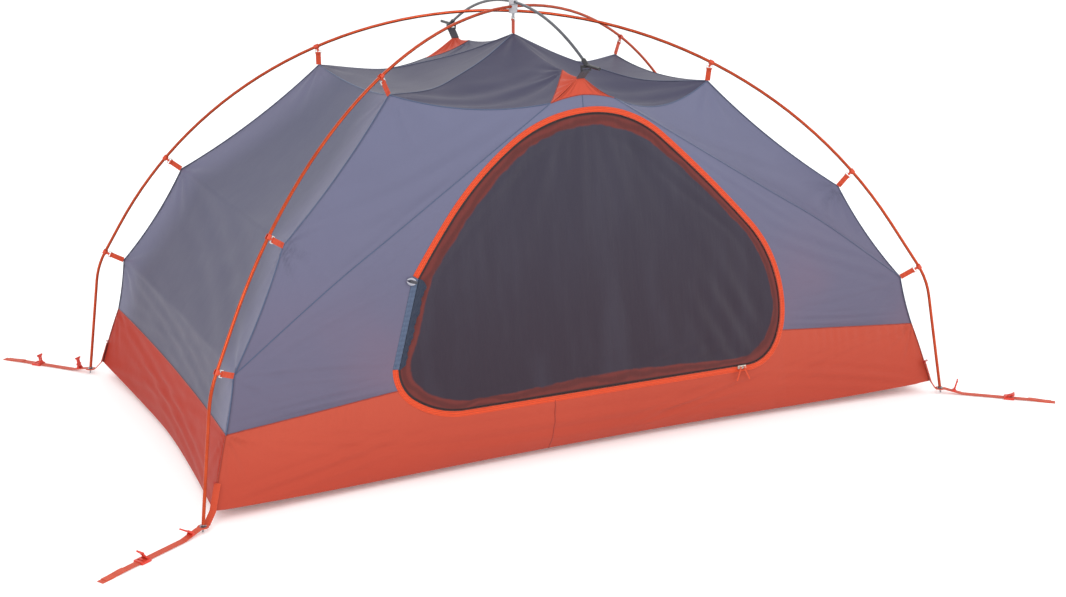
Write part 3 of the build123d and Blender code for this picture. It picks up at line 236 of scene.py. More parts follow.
class Piece:
    """Gathers grids and faces, then makes one object of them."""

    def __init__(self):
        self.places, self.faces, self.slots, self.masks = [], [], [], []
        self.count = 0

    def add(self, places, faces, slot=0, mask=0.0):
        places = np.asarray(places, float).reshape(-1, 3)
        self.places.append(places)
        self.masks.append(np.broadcast_to(np.asarray(mask, float).reshape(-1), (len(places),)))
        self.faces += [tuple(index + self.count for index in face) for face in faces]
        self.slots += [slot] * len(faces)
        self.count += len(places)

    def grid(self, grid, slot=0, mask=0.0, closed=False):
        rows, columns = grid.shape[:2]
        faces = []
        for row in range(rows - 1):
            for column in range(columns if closed else columns - 1):
                after = (column + 1) % columns
                faces.append((row * columns + column, row * columns + after,
                              (row + 1) * columns + after, (row + 1) * columns + column))
        self.add(grid, faces, slot, mask)

    def tube(self, rings, slot=0):
        """A closed strip through rings of points, capped at both ends."""
        self.grid(rings, slot, closed=True)
        for ring in (rings[0], rings[-1]):
            self.add(ring, [tuple(range(len(ring)))], slot)

    def build(self, name, materials, body="tent", weld=0.05, is_sheet=False):
        mesh = bpy.data.meshes.new(name)
        mesh.from_pydata((np.concatenate(self.places) * MM).tolist(), [], self.faces)
        for material in materials:
            mesh.materials.append(material)
        mesh.polygons.foreach_set("material_index", np.array(self.slots, np.int32))
        mesh.attributes.new("mask", "FLOAT", "POINT")
        mesh.attributes["mask"].data.foreach_set("value", np.concatenate(self.masks).astype(np.float32))
        shape = bmesh.new()
        shape.from_mesh(mesh)
        bmesh.ops.remove_doubles(shape, verts=shape.verts, dist=weld * MM)
        slivers = [face for face in shape.faces if face.calc_area() < SLIVER]
        bmesh.ops.delete(shape, geom=slivers, context="FACES_ONLY")
        bmesh.ops.recalc_face_normals(shape, faces=shape.faces)
        inside = Vector(MIDDLE * MM)
        facing = sum(face.calc_area() * face.normal.dot(face.calc_center_median() - inside)
                     for face in shape.faces)
        if is_sheet and facing < 0:
            bmesh.ops.reverse_faces(shape, faces=shape.faces)
        shape.to_mesh(mesh)
        shape.free()
        mesh.polygons.foreach_set("use_smooth", np.ones(len(mesh.polygons), bool))
        piece = placed(name, mesh)
        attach(piece, body)
        return piece


# === materials ===
def srgb(red, green, blue):
    """A shader colour from the values that a screen shows."""
    levels = [value / 255 for value in (red, green, blue)]
    return tuple(x / 12.92 if x <= 0.04045 else ((x + 0.055) / 1.055) ** 2.4 for x in levels) + (1.0,)


class Shader:
    """A Principled material built from procedural nodes."""

    def __init__(self, name, **values):
        self.material = bpy.data.materials.new(name)
        self.material.use_nodes = True
        self.tree = self.material.node_tree
        self.surface = self.tree.nodes["Principled BSDF"]
        self.place = self.tree.nodes.new("ShaderNodeTexCoord").outputs["Object"]
        for key, value in values.items():
            self.surface.inputs[key.replace("_", " ")].default_value = value

    def node(self, kind, inputs=(), **values):
        made = self.tree.nodes.new("ShaderNode" + kind)
        for key, value in values.items():
            setattr(made, key, value)
        for key, value in dict(inputs).items():
            if isinstance(value, (int, float, tuple)):
                made.inputs[key].default_value = value
            else:
                self.tree.links.new(value, made.inputs[key])
        return made

    def noise(self, scale, detail=3.0, stretch=(1, 1, 1)):
        place = self.node("Mapping", {"Vector": self.place, "Scale": stretch}).outputs[0]
        inputs = {"Vector": place, "Scale": scale, "Detail": detail}
        return self.node("TexNoise", inputs).outputs["Fac"]

    def wave(self, pitch, axis):
        """Threads side by side along an axis, pitch metres apart."""
        made = self.node("TexWave", {"Vector": self.place, "Scale": pi / pitch / 10},
                         bands_direction=axis)
        return made.outputs["Fac"]

    def weave(self, pitch):
        across = self.calc("ADD", self.wave(pitch, "X"), self.wave(pitch, "Y"))
        return self.times(self.calc("ADD", across, self.wave(pitch, "Z")), 0.33)

    def calc(self, operation, *values):
        return self.node("Math", dict(enumerate(values)), operation=operation).outputs[0]

    def times(self, *values):
        """The product of two values, with a third one added to it if there is one."""
        return self.calc("MULTIPLY_ADD" if len(values) == 3 else "MULTIPLY", *values)

    def height(self):
        return self.node("SeparateXYZ", {0: self.place}).outputs[2]

    def mask(self):
        return self.node("Attribute", attribute_name="mask").outputs["Fac"]

    def step(self, value, low, high):
        """0 below low, 1 above high, smooth between."""
        inputs = {"Value": value, "From Min": low, "From Max": high}
        return self.node("MapRange", inputs, interpolation_type="SMOOTHSTEP").outputs["Result"]

    def mix(self, share, *colors):
        """Two colours mixed; each is a socket or the 0 to 255 values that a screen shows."""
        first, second = (srgb(*color) if isinstance(color, tuple) else color for color in colors)
        return self.node("Mix", {0: share, 6: first, 7: second}, data_type="RGBA").outputs[2]

    def finish(self, color, roughness, *bumps):
        """Links colour, roughness and bumps, each a height with its strength and depth in metres."""
        self.tree.links.new(color, self.surface.inputs["Base Color"])
        self.tree.links.new(roughness, self.surface.inputs["Roughness"])
        below = None
        for height, strength, depth in bumps:
            inputs = {"Height": height, "Strength": strength, "Distance": depth}
            if below is not None:
                inputs["Normal"] = below
            below = self.node("Bump", inputs).outputs["Normal"]
        self.tree.links.new(below, self.surface.inputs["Normal"])
        return self.material


def nylon(name, low, high, tint, rough=0.5, top=1.1, painted_tub_reflection=None, painted_light_band=None, gloss=0.24):
    """Coated nylon: colour that drifts with height (painted light and shade: darker and warmer low down,
    lighter higher up), mottling, soft creases and a fine weave.

    A painted reflection of the orange tub warms its lower part in patches; a painted-light strip is the
    lighter border where the piece's mask is 1.
    """
    s = Shader(name, Sheen_Weight=0.02, Sheen_Roughness=0.5, Specular_IOR_Level=gloss)
    # painted light and shade: darker low down, lighter towards the top
    base = s.mix(s.step(s.height(), 0.0, top), low, high)
    # painted reflection: pink patches low down, the orange tub's light on the canopy
    if painted_tub_reflection:
        tub_reflection_share = s.times(s.step(s.noise(2.3, 2.0), 0.45, 0.75), s.step(s.height(), 0.62, 0.28))
        base = s.mix(s.times(tub_reflection_share, 0.55), base, painted_tub_reflection)
    # painted light: a lighter border where the mask is 1
    if painted_light_band:
        base = s.mix(s.step(s.mask(), 0.05, 0.95), base, painted_light_band)
    color = s.mix(s.times(s.noise(3.2, 4.0), 0.5), base, tint)
    roughness = s.times(s.noise(9.0, 2.0), 0.14, rough - 0.07)
    return s.finish(color, roughness, (s.noise(5.0, 3.0, (1, 1, 1.6)), 0.28, 0.012),
                    (s.noise(26.0, 3.0, (1, 1, 0.4)), 0.22, 0.002), (s.weave(0.0016), 0.12, 0.0003))


def webbing(name, color, dark, pitch=0.0022, rough=0.72):
    """Woven tape: ribs, a fine twill, and lighter crests: the colour is darker between the ribs, painted
    shade in the grooves, and varies in random patches.
    """
    s = Shader(name, Sheen_Weight=0.15, Sheen_Roughness=0.5, Specular_IOR_Level=0.3)
    ribs = s.weave(pitch)
    # painted shade: darker between the ribs; the noise adds random tone
    rib_shade_and_tone = s.times(s.noise(60, 2), 0.35, s.times(ribs, 0.75))
    return s.finish(s.mix(rib_shade_and_tone, dark, color), s.times(ribs, -0.12, rough), (ribs, 0.5, 0.0005))


def plastic(name, color, dark, rough=0.38):
    """Moulded plastic with faint flow marks and handling wear."""
    s = Shader(name, Specular_IOR_Level=0.45)
    roughness = s.times(s.noise(90, 2), 0.14, rough - 0.05)
    return s.finish(s.mix(s.noise(45, 3), dark, color), roughness, (s.noise(500, 2), 0.08, 0.0003))


def metal(name, color, dark, rough=0.3, metallic=1.0):
    """Drawn or anodised metal with fine lengthwise marks."""
    s = Shader(name, Metallic=metallic)
    roughness = s.times(s.noise(80, 3, (1, 1, 0.2)), 0.18, rough - 0.06)
    return s.finish(s.mix(s.noise(30, 3), dark, color), roughness,
                    (s.noise(700, 2, (1, 1, 0.15)), 0.06, 0.0002))


def door_cloth():
    """Fine dark mesh with a see-through red border along the zip; the mask is 1 where the border ends."""
    s = Shader("door_mesh_cloth", Sheen_Weight=0.08, Sheen_Roughness=0.5, Specular_IOR_Level=0.3)
    far = s.mask()
    wavy = s.times(s.noise(3.2, 2), -0.7, s.times(s.noise(24, 3), -0.5, far))
    # painted highlight: lighter streaks where the mesh's long folds catch the light
    fold_highlight = s.step(s.noise(5.0, 4.0, (2.4, 1.0, 0.5)), 0.42, 0.8)
    cloth = s.mix(s.step(s.height(), 0.15, 0.95), (40, 27, 41), (46, 43, 58))
    cloth = s.mix(s.times(fold_highlight, 0.22), cloth, (66, 64, 78))
    drawn = s.calc("SINE", s.times(s.noise(8, 3), 13.0, s.times(far, 7.0)))
    border = s.mix(s.step(drawn, -1.0, 1.2), (82, 26, 24), (98, 33, 29))
    color = s.mix(s.step(wavy, 0.3, 0.52), border, cloth)
    color = s.mix(s.step(far, 0.05, 0.22), (36, 20, 24), color)
    roughness = s.times(s.noise(20, 2), 0.15, 0.46)
    return s.finish(color, roughness, (s.noise(6.0, 4.0, (3.0, 1.0, 0.4)), 0.3, 0.014),
                    (s.weave(0.0014), 0.25, 0.0003))


# the canopy's lower part carries a painted reflection of the orange tub
CANOPY = nylon("canopy_nylon", (94, 86, 106), (103, 106, 132), (88, 88, 110), painted_tub_reflection=(122, 92, 108))
# the end walls get a painted-light border next to their corner seams
CANOPY_END = nylon("end_wall_nylon", (80, 76, 94), (80, 83, 106), (72, 72, 90), painted_light_band=(106, 106, 131))
CANOPY_ROOF = nylon("roof_nylon", (62, 59, 80), (67, 66, 88), (56, 55, 74), rough=0.55)
TUB = nylon("tub_nylon", (172, 65, 47), (180, 77, 57), (156, 57, 42), top=0.3, gloss=0.16)
# painted shade: the tub's own orange nylon, made darker for the end panels
SHADED_TUB_END = nylon("tub_end_nylon", (160, 42, 24), (168, 48, 28), (148, 36, 20), top=0.3, gloss=0.08)
PATCH = nylon("patch_nylon", (186, 72, 52), (192, 80, 60), (166, 56, 38), gloss=0.12)
SEAM = webbing("seam_thread", (78, 90, 118), (62, 74, 100), pitch=0.0016)
SEAM_ORANGE = webbing("seam_thread_orange", (158, 52, 34), (126, 38, 24), pitch=0.0016)
TAPE = webbing("zip_tape_weave", (222, 78, 30), (190, 54, 18), pitch=0.0015)
COIL = plastic("zip_coil_nylon", (58, 36, 38), (38, 24, 28), rough=0.35)
BINDING = webbing("binding_weave", (84, 98, 122), (56, 68, 92), pitch=0.0024)
GATHER = nylon("hinge_gather_nylon", (40, 48, 66), (48, 58, 78), (28, 34, 48))
WEBBING = webbing("orange_webbing", (206, 74, 36), (166, 50, 24))
DARK_WEBBING = webbing("dark_webbing", (66, 64, 72), (42, 41, 48))
THREAD = webbing("thread", (186, 60, 34), (140, 40, 22), pitch=0.0012)
RED_THREAD = webbing("red_thread", (190, 26, 34), (140, 14, 22), pitch=0.0012)
CORD = webbing("pull_cord_braid", (216, 80, 40), (176, 54, 26), pitch=0.0011)
ORANGE_PLASTIC = plastic("orange_plastic", (214, 58, 36), (192, 46, 28))
CLIP_PLASTIC = plastic("clip_plastic", (206, 70, 34), (184, 56, 26))
RING_PLASTIC = plastic("ring_plastic", (214, 212, 208), (194, 192, 190))
HUB_PLASTIC = plastic("hub_plastic", (190, 190, 194), (166, 166, 172))
BLACK_PLASTIC = plastic("black_plastic", (42, 42, 46), (30, 30, 34), rough=0.42)
TOGGLE = plastic("toggle_plastic", (70, 70, 78), (52, 52, 60))
LOOP = webbing("toggle_loop_weave", (176, 176, 186), (134, 134, 146), pitch=0.0016)
SLIDER = metal("slider_paint", (214, 210, 200), (190, 184, 172), rough=0.32, metallic=0.7)
GROMMET = metal("grommet_metal", (176, 176, 178), (140, 140, 144))
TIP = metal("tip_metal", (168, 168, 172), (130, 130, 136), rough=0.34)
FERRULE = metal("ferrule_metal", (180, 180, 184), (150, 150, 154))
POLE = metal("anodised_orange", (196, 80, 42), (156, 52, 26), rough=0.25, metallic=0.8)
BROW = metal("anodised_grey", (96, 98, 104), (76, 78, 84), rough=0.32, metallic=0.6)
DOOR = door_cloth()
CORD_INNER = webbing("shock_cord_braid", (40, 40, 44), (24, 24, 28), pitch=0.0012)


# === the canopy's seams ===
SAMPLES = {"tub": 20, "low": 44, "high": 52, "across": 72, "middle": 12}
SCALLOPS = {"tub": (3, 0), "low": (9, -6), "high": (9, -12)}  # each span's pull inward and down
CORNER_X, CORNER_Y = 0.87, 0.49  # which way a corner points
ROOF_SAGS = (0.32, 43), (0.55, 42), (0.765, 30)  # how far up a roof seam, and how deep it sags there


def corner_seam(end, side, span):
    """One span of a corner's seam, drawn in between its two fixed ends."""
    names = {"tub": ("tub", "low"), "low": ("low", "middle"), "high": ("middle", "high")}[span]
    inward, down = SCALLOPS[span]
    pull = np.array([-end * CORNER_X * inward, -side * CORNER_Y * inward, down])
    return bowed(corner[names[0], end, side], corner[names[1], end, side], pull, SAMPLES[span])


def whole_corner(end, side):
    return joined(*(corner_seam(end, side, span) for span in SCALLOPS))


def roof_seam(end, side):
    """From the highest clip to the peak, sagging most near the clip."""
    high = corner["high", end, side]
    knots = [high + (peak - high) * share - [0, 0, sag] for share, sag in ROOF_SAGS]
    return smooth_curve([high, *knots, peak], SAMPLES["high"])


def roof_edge(end, side):
    """From the highest clip to the orange patch."""
    start, finish = corner["high", end, side], corner["patch", end, side]
    pull = corner["edge", end, side] - (start + finish) / 2 - [0, 0, 6]
    return bowed(start, finish, pull, SAMPLES["low"])


def front_seam(end, side):
    """From the lowest clip past the door to the orange patch."""
    bend, patch = corner["bend", end, side], corner["patch", end, side]
    up = np.array([0, -side * sin(LEAN), cos(LEAN)])
    past = bend + (patch - bend) * 0.3 + up * 8
    knots = [corner["low", end, side], bend + up * 6 + [end * 10, 0, 0], past, patch]
    return smooth_curve(knots, SAMPLES["high"])


def across_end(end, name, inward, down):
    pull = (-end * inward, 0, down)
    return bowed(corner[name, end, FRONT], corner[name, end, BACK], pull, SAMPLES["across"])


def end_top(end):
    return across_end(end, "high", 8, -20)


def tub_top(end):
    return across_end(end, "tub", 16, -4)


def patch_back(end, side):
    return bowed(corner["patch", end, side], corner["patch_back", side], (0, 0, -8), SAMPLES["high"])


def patch_front(end, side):
    return bowed(corner["patch", end, side], corner["patch_middle", side], (0, 0, 3), SAMPLES["middle"])


def ridge(side):
    return bowed(peak, corner["patch_back", side], (0, 0, -12), SAMPLES["low"])


# === the door's outline on its wall ===
DOOR_START, DOOR_FIRST = (-430, 178), (470, 173)
DOOR_CURVE = [(576, 236), (602, 330), (511, 592), (239, 872), (18, 958), (-227, 883), (-430, 698),
              (-537, 558)]
HINGE_END, LOW_CORNER, LOW_WAY = (-616, 322), (-575, 228), (-0.1, -1.0)
STEP = 6.0  # between the outline's points


def arc(start, way, finish):
    """Points of the arc that leaves start in a direction and ends at finish, and the way it ends."""
    start, way, finish = np.array(start, float), unit(way), np.array(finish, float)
    chord = finish - start
    turn = 2 * atan2(way[0] * chord[1] - way[1] * chord[0], way @ chord)
    radius = norm(chord) / 2 / sin(turn / 2)
    left = np.array([-way[1], way[0]])
    centre = start + left * radius
    angles = np.linspace(0, turn, max(int(abs(radius * turn) / STEP), 3) + 1)[:, None]
    spoke = start - centre
    points = centre + spoke * np.cos(angles) + np.array([-spoke[1], spoke[0]]) * np.sin(angles)
    return points, way * cos(turn) + left * sin(turn)


def straight(start, finish):
    start, finish = np.array(start, float), np.array(finish, float)
    return resample([start, finish], int(norm(finish - start) / STEP))


def door_line():
    """The outline, anticlockwise from its lower left, and where the hinge starts and ends in it."""
    runs = [straight(DOOR_START, DOOR_FIRST)]

    def curve(way, finishes):
        for finish in finishes:
            points, way = arc(runs[-1][-1], way, finish)
            runs.append(points[1:])
        return sum(len(run) for run in runs) - 1

    hinge_top = curve(runs[0][-1] - runs[0][0], DOOR_CURVE)
    runs.append(straight(DOOR_CURVE[-1], HINGE_END)[1:])
    hinge_low = hinge_top + len(runs[-1])
    curve(LOW_WAY, (LOW_CORNER, DOOR_START))
    return np.vstack(runs)[:-1], hinge_top, hinge_low


LINE, HINGE_TOP, HINGE_LOW = door_line()
RAY_FROM = np.array([0.0, 318.0])  # the walls' columns fan out from this place in the door


def shifted(line, offset, closed=True):
    """A line moved to its right, which is outward for the door's outline."""
    ahead = np.roll(line, -1, 0) - np.roll(line, 1, 0) if closed else np.gradient(line, axis=0)
    ahead = unit(ahead)
    return line + np.stack([ahead[:, 1], -ahead[:, 0]], 1) * np.reshape(offset, (-1, 1))


def door_at(angles):
    """The outline's points at these angles round RAY_FROM."""
    away = np.vstack([LINE, LINE[:1]]) - RAY_FROM
    turns = np.unwrap(np.arctan2(away[:, 1], away[:, 0]))
    at = np.mod(np.asarray(angles) - turns[0], 2 * pi) + turns[0]
    return np.stack([np.interp(at, turns, away[:, k]) for k in (0, 1)], 1) + RAY_FROM


# === walls and roof ===
END_BOW = {HEAD: 26.0, FOOT: 20.0}
LIT_BAND_WIDTH = 210.0  # painted light: the end walls are lighter this far in from their corner seams
WALL_ROWS = 44
SEAM_CALM, FOLD_RISE = 4.0, 30.0  # a door wall's folds start and are full this far from its edges


def end_wall(end):
    """Drawn tight between the corner seams, so it bows in both ways."""
    grid = coons(tub_top(end), end_top(end), whole_corner(end, FRONT), whole_corner(end, BACK))
    u, v = shares(grid)
    bow = (np.sin(pi * u) * np.sin(pi * v)) ** 0.8 * END_BOW[end]
    grid = calm = grid + np.stack([-end * bow * 0.83, 0 * bow, -bow * 0.55], 2)
    for side in SIDES:
        tub, low, middle, high = corners(end, side, "tub", "low", "middle", "high")
        grid = pleats(grid, (low, 130, 2.4, 9, 0.3 + side), (middle, 130, 2.4, 9, 1.9 + side),
                      (high, 130, 2.0, 9, 4.0 + side))
        grid = folds(grid, (low, corner["middle", end, -side], 120, 105, 2.2, side),
                     (tub, corner["low", end, -side], 60, 46, 1.6, side))
    grid = settled(grid, calm, 22)
    # painted light: a lighter strip on the end wall next to each corner seam, fading out over a set width
    across = norm(np.diff(grid, axis=1), axis=2).cumsum(1)
    across = np.hstack([np.zeros((len(grid), 1)), across])
    from_seam = np.minimum(across, across[:, -1:] - across)
    return grid, np.clip(1 - from_seam / LIT_BAND_WIDTH, 0, 1)


def upper_wall(end, side):
    low, middle, high, patch = corners(end, side, "low", "middle", "high", "patch")
    calm = coons(front_seam(end, side), corner_seam(end, side, "high"),
                 corner_seam(end, side, "low"), roof_edge(end, side)[::-1])
    grid = pleats(calm, (low, 130, 1.8, 10, 0.5), (middle, 130, 2.6, 10, 2.0), (high, 130, 2.4, 10, 1.1),
                  (patch, 130, 2.0, 10, 3.0))
    grid = folds(grid, (middle, patch, 70, 62, 2.4, 0.4), (low, patch, 46, 40, 1.6, 2.1))
    return settled(grid, calm, 20)


def lower_wall(side):
    """The wall round the door, from its outline out to the seams; the columns fan out from the door."""
    outer = joined(corner_seam(HEAD, side, "tub"), front_seam(HEAD, side), patch_front(HEAD, side),
                   patch_front(FOOT, side)[::-1], front_seam(FOOT, side)[::-1],
                   corner_seam(FOOT, side, "tub")[::-1])
    away = wall_uv(outer, side) - RAY_FROM
    inner = on_wall(*door_at(np.arctan2(away[:, 1], away[:, 0])).T, 0.0, side)
    t = (np.linspace(0, 1, WALL_ROWS) ** 1.1)[:, None, None]
    grid = calm = inner[None] * (1 - t) + outer[None] * t
    for end in ENDS:
        low, tub, bend, patch = corners(end, side, "low", "tub", "bend", "patch")
        flank = wall_place(end * 600, 330.0, side)
        grid = pleats(grid, (low, 150, 2.2, 11, 0.7 * end))
        grid = folds(grid, (wall_place(end * 520, 560.0, side), low, 60, 44, 3.4, 1.0),
                     (flank, low, 50, 36, 2.2, 2.0), (flank - [0, 0, 55], tub + [0, 0, 20], 34, 22, 3.4, 0.6),
                     (patch, bend + [0, 0, -40], 40, 34, 1.4, end))
    from_edges = np.minimum(*(norm(calm - edge[None], axis=2) for edge in (inner, outer)))
    return calm + (grid - calm) * np.clip((from_edges - SEAM_CALM) / FOLD_RISE, 0, 1)[..., None]


def build_walls():
    walls = Piece()
    flank_lines = {}
    for end in ENDS:
        grid, painted_light_band = end_wall(end)
        walls.grid(grid, 1, painted_light_band)
        for side in SIDES:
            walls.grid(upper_wall(end, side), 0)
    for side in SIDES:
        grid = lower_wall(side)
        walls.grid(grid, 0)
        flank_lines[side] = (grid[:, 0], grid[:, -1])
    piece = walls.build("canopy_walls", [CANOPY, CANOPY_END], weld=0.5, is_sheet=True)
    nodes = [f"wall_{SIDE_NAMES[side]}_{END_NAMES[end]}_{part}"
             for side in SIDES for end in ENDS for part in ("upper", "lower")]
    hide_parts("wall_head", "wall_foot", *nodes)
    return piece, flank_lines


def build_roof():
    roof = Piece()
    for end in ENDS:
        grid = coons(end_top(end), np.repeat(peak[None], SAMPLES["across"] + 1, 0),
                     roof_seam(end, FRONT), roof_seam(end, BACK))
        roof.grid(pleats(grid, *((corner["high", end, side], 120, 2.0, 9, side) for side in SIDES),
                         (peak, 110, 1.6, 8, 0.0)))
        for side in SIDES:
            high, back = corner["high", end, side], corner["patch_back", side]
            calm = coons(roof_edge(end, side), ridge(side), roof_seam(end, side), patch_back(end, side))
            grid = pleats(calm, (peak, 130, 2.2, 9, 1.0), (high, 140, 2.4, 9, 2.0), (back, 90, 2.0, 9, 0.3))
            roof.grid(settled(folds(grid, (high, back, 90, 84, 3.0, end)), calm, 18))
    piece = roof.build("canopy_roof", [CANOPY_ROOF], weld=0.5, is_sheet=True)
    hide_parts("roof_front", "roof_back", "roof_head", "roof_foot")
    return piece


def build_patches():
    """Two pleated faces on each side that meet at the point where the brow pole's strap is sewn."""
    patch = Piece()
    tip_width, pleat_depth = 22.0, 3.0
    for side in SIDES:
        for edge, drop in ((patch_back, -4.0), (patch_front, -6.0)):
            base = joined(edge(HEAD, side), edge(FOOT, side)[::-1])
            u = np.linspace(0, 1, len(base))
            tip = corner["patch_point", side] + (u[:, None] - 0.5) * [tip_width, 0, 0]
            v = np.linspace(0, 1, 24)[:, None]
            grid = base[None] * (1 - v[..., None]) + tip[None] * v[..., None]
            rise = np.sin(pi * v)
            grid[..., 2] += drop * rise + pleat_depth * np.sin(u[None, :] * 56) * rise ** 0.6
            patch.grid(grid)
    piece = patch.build("orange_patches", [PATCH], weld=0.3, is_sheet=True)
    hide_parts("brow_patches")
    return piece


# === tub and floor ===
FLOOR_HALF_WIDTH, FLOOR_DRAW, FLOOR_LOW = 636.0, 61.0, 19.0
TUB_ROWS, DOOR_COLUMNS, FLANK_COLUMNS = 40, 260, 110
TURN_HEIGHT = 78.0  # the tub's sides turn under at this height
SQUARE_FROM, SQUARE_OVER = 700, 380  # towards its ends a side stands straight
CORNER_SHARE = 0.12  # this much of a side bends to meet the end panel's edge


def floor_edge(side, xs):
    """The tub's lower edge along a door side: drawn in and down between its raised corners."""
    half = np.where(xs < 0, -corner["floor", HEAD, side][0], corner["floor", FOOT, side][0])
    share = np.clip(np.abs(xs) / half, 0, 1)
    rise = corner["floor", HEAD, side][2] - FLOOR_LOW
    return np.stack([xs, side * (FLOOR_HALF_WIDTH - FLOOR_DRAW * (1 - share ** 2.2)),
                     FLOOR_LOW + rise * share ** 5], 1)


def floor_end_edge(end):
    quarter = floor_end[end] + [end * 14, 0, 3]
    knots = [corner["floor", end, FRONT], quarter + [0, -320, 0], floor_end[end], quarter + [0, 320, 0],
             corner["floor", end, BACK]]
    return smooth_curve(knots, SAMPLES["across"])


def tub_corner(end, side):
    return bowed(corner["floor", end, side], corner["tub", end, side], (end * 2, side * 2, 0), TUB_ROWS - 1)


def tub_side(side, flanks):
    """From the lower edge up to the wall's seam and the door's lower run, turned under at its foot."""
    head, foot = flanks[side]
    starts = [wall_uv(place[:1], side)[0] - RAY_FROM for place in (head, foot)]
    angles = np.unwrap([atan2(start[1], start[0]) for start in starts])
    low = door_at(np.linspace(*angles, DOOR_COLUMNS))
    top = np.vstack([resample(head[::-1], FLANK_COLUMNS)[:-1], on_wall(*low.T, 0.0, side),
                     resample(foot, FLANK_COLUMNS)[1:]])
    ends = [corner["floor", end, side][0] for end in ENDS]
    xs = np.interp(top[:, 0], (top[0, 0], top[-1, 0]), ends)
    bottom = floor_edge(side, xs)
    turn = wall_place((top[:, 0] + xs) / 2, TURN_HEIGHT, side)
    square = np.clip((np.abs(top[:, 0]) - SQUARE_FROM) / SQUARE_OVER, 0, 1)[:, None] ** 2
    turn = turn * (1 - square) + ((top + bottom) / 2 + [0, side * 4, 0]) * square
    v = np.linspace(0, 1, TUB_ROWS)[:, None, None]
    grid = (1 - v) ** 2 * bottom[None] + 2 * v * (1 - v) * turn[None] + v ** 2 * top[None]
    share = np.linspace(0, 1, len(xs))
    for end, column, far in ((HEAD, 0, share), (FOOT, -1, 1 - share)):
        gap = tub_corner(end, side) - grid[:, column]
        grid = grid + gap[:, None] * np.clip(1 - far / CORNER_SHARE, 0, 1)[None, :, None]
    calm = grid
    for end in ENDS:
        tub, floor = corners(end, side, "tub", "floor")
        centre = wall_place(end * 520, 150.0, side)
        grid = pleats(grid, (tub, 130, 2.2, 12, end))
        grid = folds(grid, (floor, centre, 46, 40, 2.6, end), (tub, centre - [0, 0, 40], 40, 34, 2.0, 1.5))
    grid = folds(grid, (wall_place(-700, 120, side), wall_place(640, 90, side), 60, 52, 2.2, 0.4),
                 (wall_place(-side * 560, 160, side), wall_place(-side * 90, 60, side), 30, 34, 3.2, 1.2))
    normals = outward_normals(grid)
    below = norm(grid - grid[-1:], axis=2)
    bunch = np.sin(grid[..., 0] / 5.2 + 2 * np.sin(grid[..., 0] / 41)) * np.exp(-below / 34)
    near_corner = np.clip((np.abs(grid[..., 0]) - 560) / 200, 0.25, 1)
    grid = grid + normals * (bunch * 1.9 * near_corner)[..., None]
    return settled(grid, calm, 9)


def tub_end(end):
    grid = coons(floor_end_edge(end), tub_top(end), tub_corner(end, FRONT), tub_corner(end, BACK))
    u, v = shares(grid)
    grid[..., 0] += end * np.sin(pi * v) * 8 * np.sin(pi * u)
    calm = grid
    for side in SIDES:
        grid = folds(grid, (corner["floor", end, side], corner["tub", end, -side], 60, 50, 2.4, side))
        grid = pleats(grid, (corner["tub", end, side], 120, 2.0, 11, side))
    return settled(grid, calm, 14)


def build_tub(flanks):
    tub = Piece()
    sides = {side: tub_side(side, flanks) for side in SIDES}
    for grid in sides.values():
        tub.grid(grid)
    for end in ENDS:
        tub.grid(tub_end(end), 1)
    piece = tub.build("tub_walls", [TUB, SHADED_TUB_END], weld=0.4, is_sheet=True)
    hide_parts("tub_front", "tub_back", "tub_head", "tub_foot")
    return piece, sides


def build_floor():
    """The flat floor and its rim up to the tub's lower edge."""
    count = SAMPLES["across"]
    xs = np.linspace(corner["floor", HEAD, FRONT][0], corner["floor", FOOT, FRONT][0], count + 1)
    grid = coons(floor_edge(FRONT, xs), floor_edge(BACK, xs), floor_end_edge(HEAD), floor_end_edge(FOOT))
    u, v = shares(grid)
    inside = np.minimum(np.minimum(u, 1 - u) / 0.05, np.minimum(v, 1 - v) / 0.08)
    lift = np.clip(1 - inside, 0, 1) ** 1.5
    lies = 0.6  # above the ground
    grid[..., 2] = lies + (grid[..., 2] - lies) * lift
    floor = Piece()
    floor.grid(grid)
    piece = floor.build("floor_cloth", [TUB], is_sheet=True)
    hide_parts("floor_sheet")
    return piece


# === seams ===
GREY, ORANGE = 0, 1  # the seams' material slots
FLAT, FELLED, SLIM, TUB_MIDDLE = (4, 1.3), (4.5, 1.6), (3, 1.2), (3.5, 1.3)  # widths and heights
SEAM_LIFT = 0.3
TUB_SEAM_X = 165  # the seam in the tub's long sides


def rounded_strip(piece, points, size, slot):
    """A slim rounded strip along a curve, lying on the canopy."""
    width, height = size
    points = np.asarray(points, float)
    ahead = unit(np.gradient(points, axis=0))
    out = points - MIDDLE
    out = unit(out - ahead * (out * ahead).sum(1, keepdims=True))
    across = np.cross(ahead, out)
    rings = [points + across * cos(angle) * width / 2 + out * (sin(angle) * height / 2 + SEAM_LIFT)
             for angle in around(8)]
    piece.tube(np.stack(rings, 1), slot)


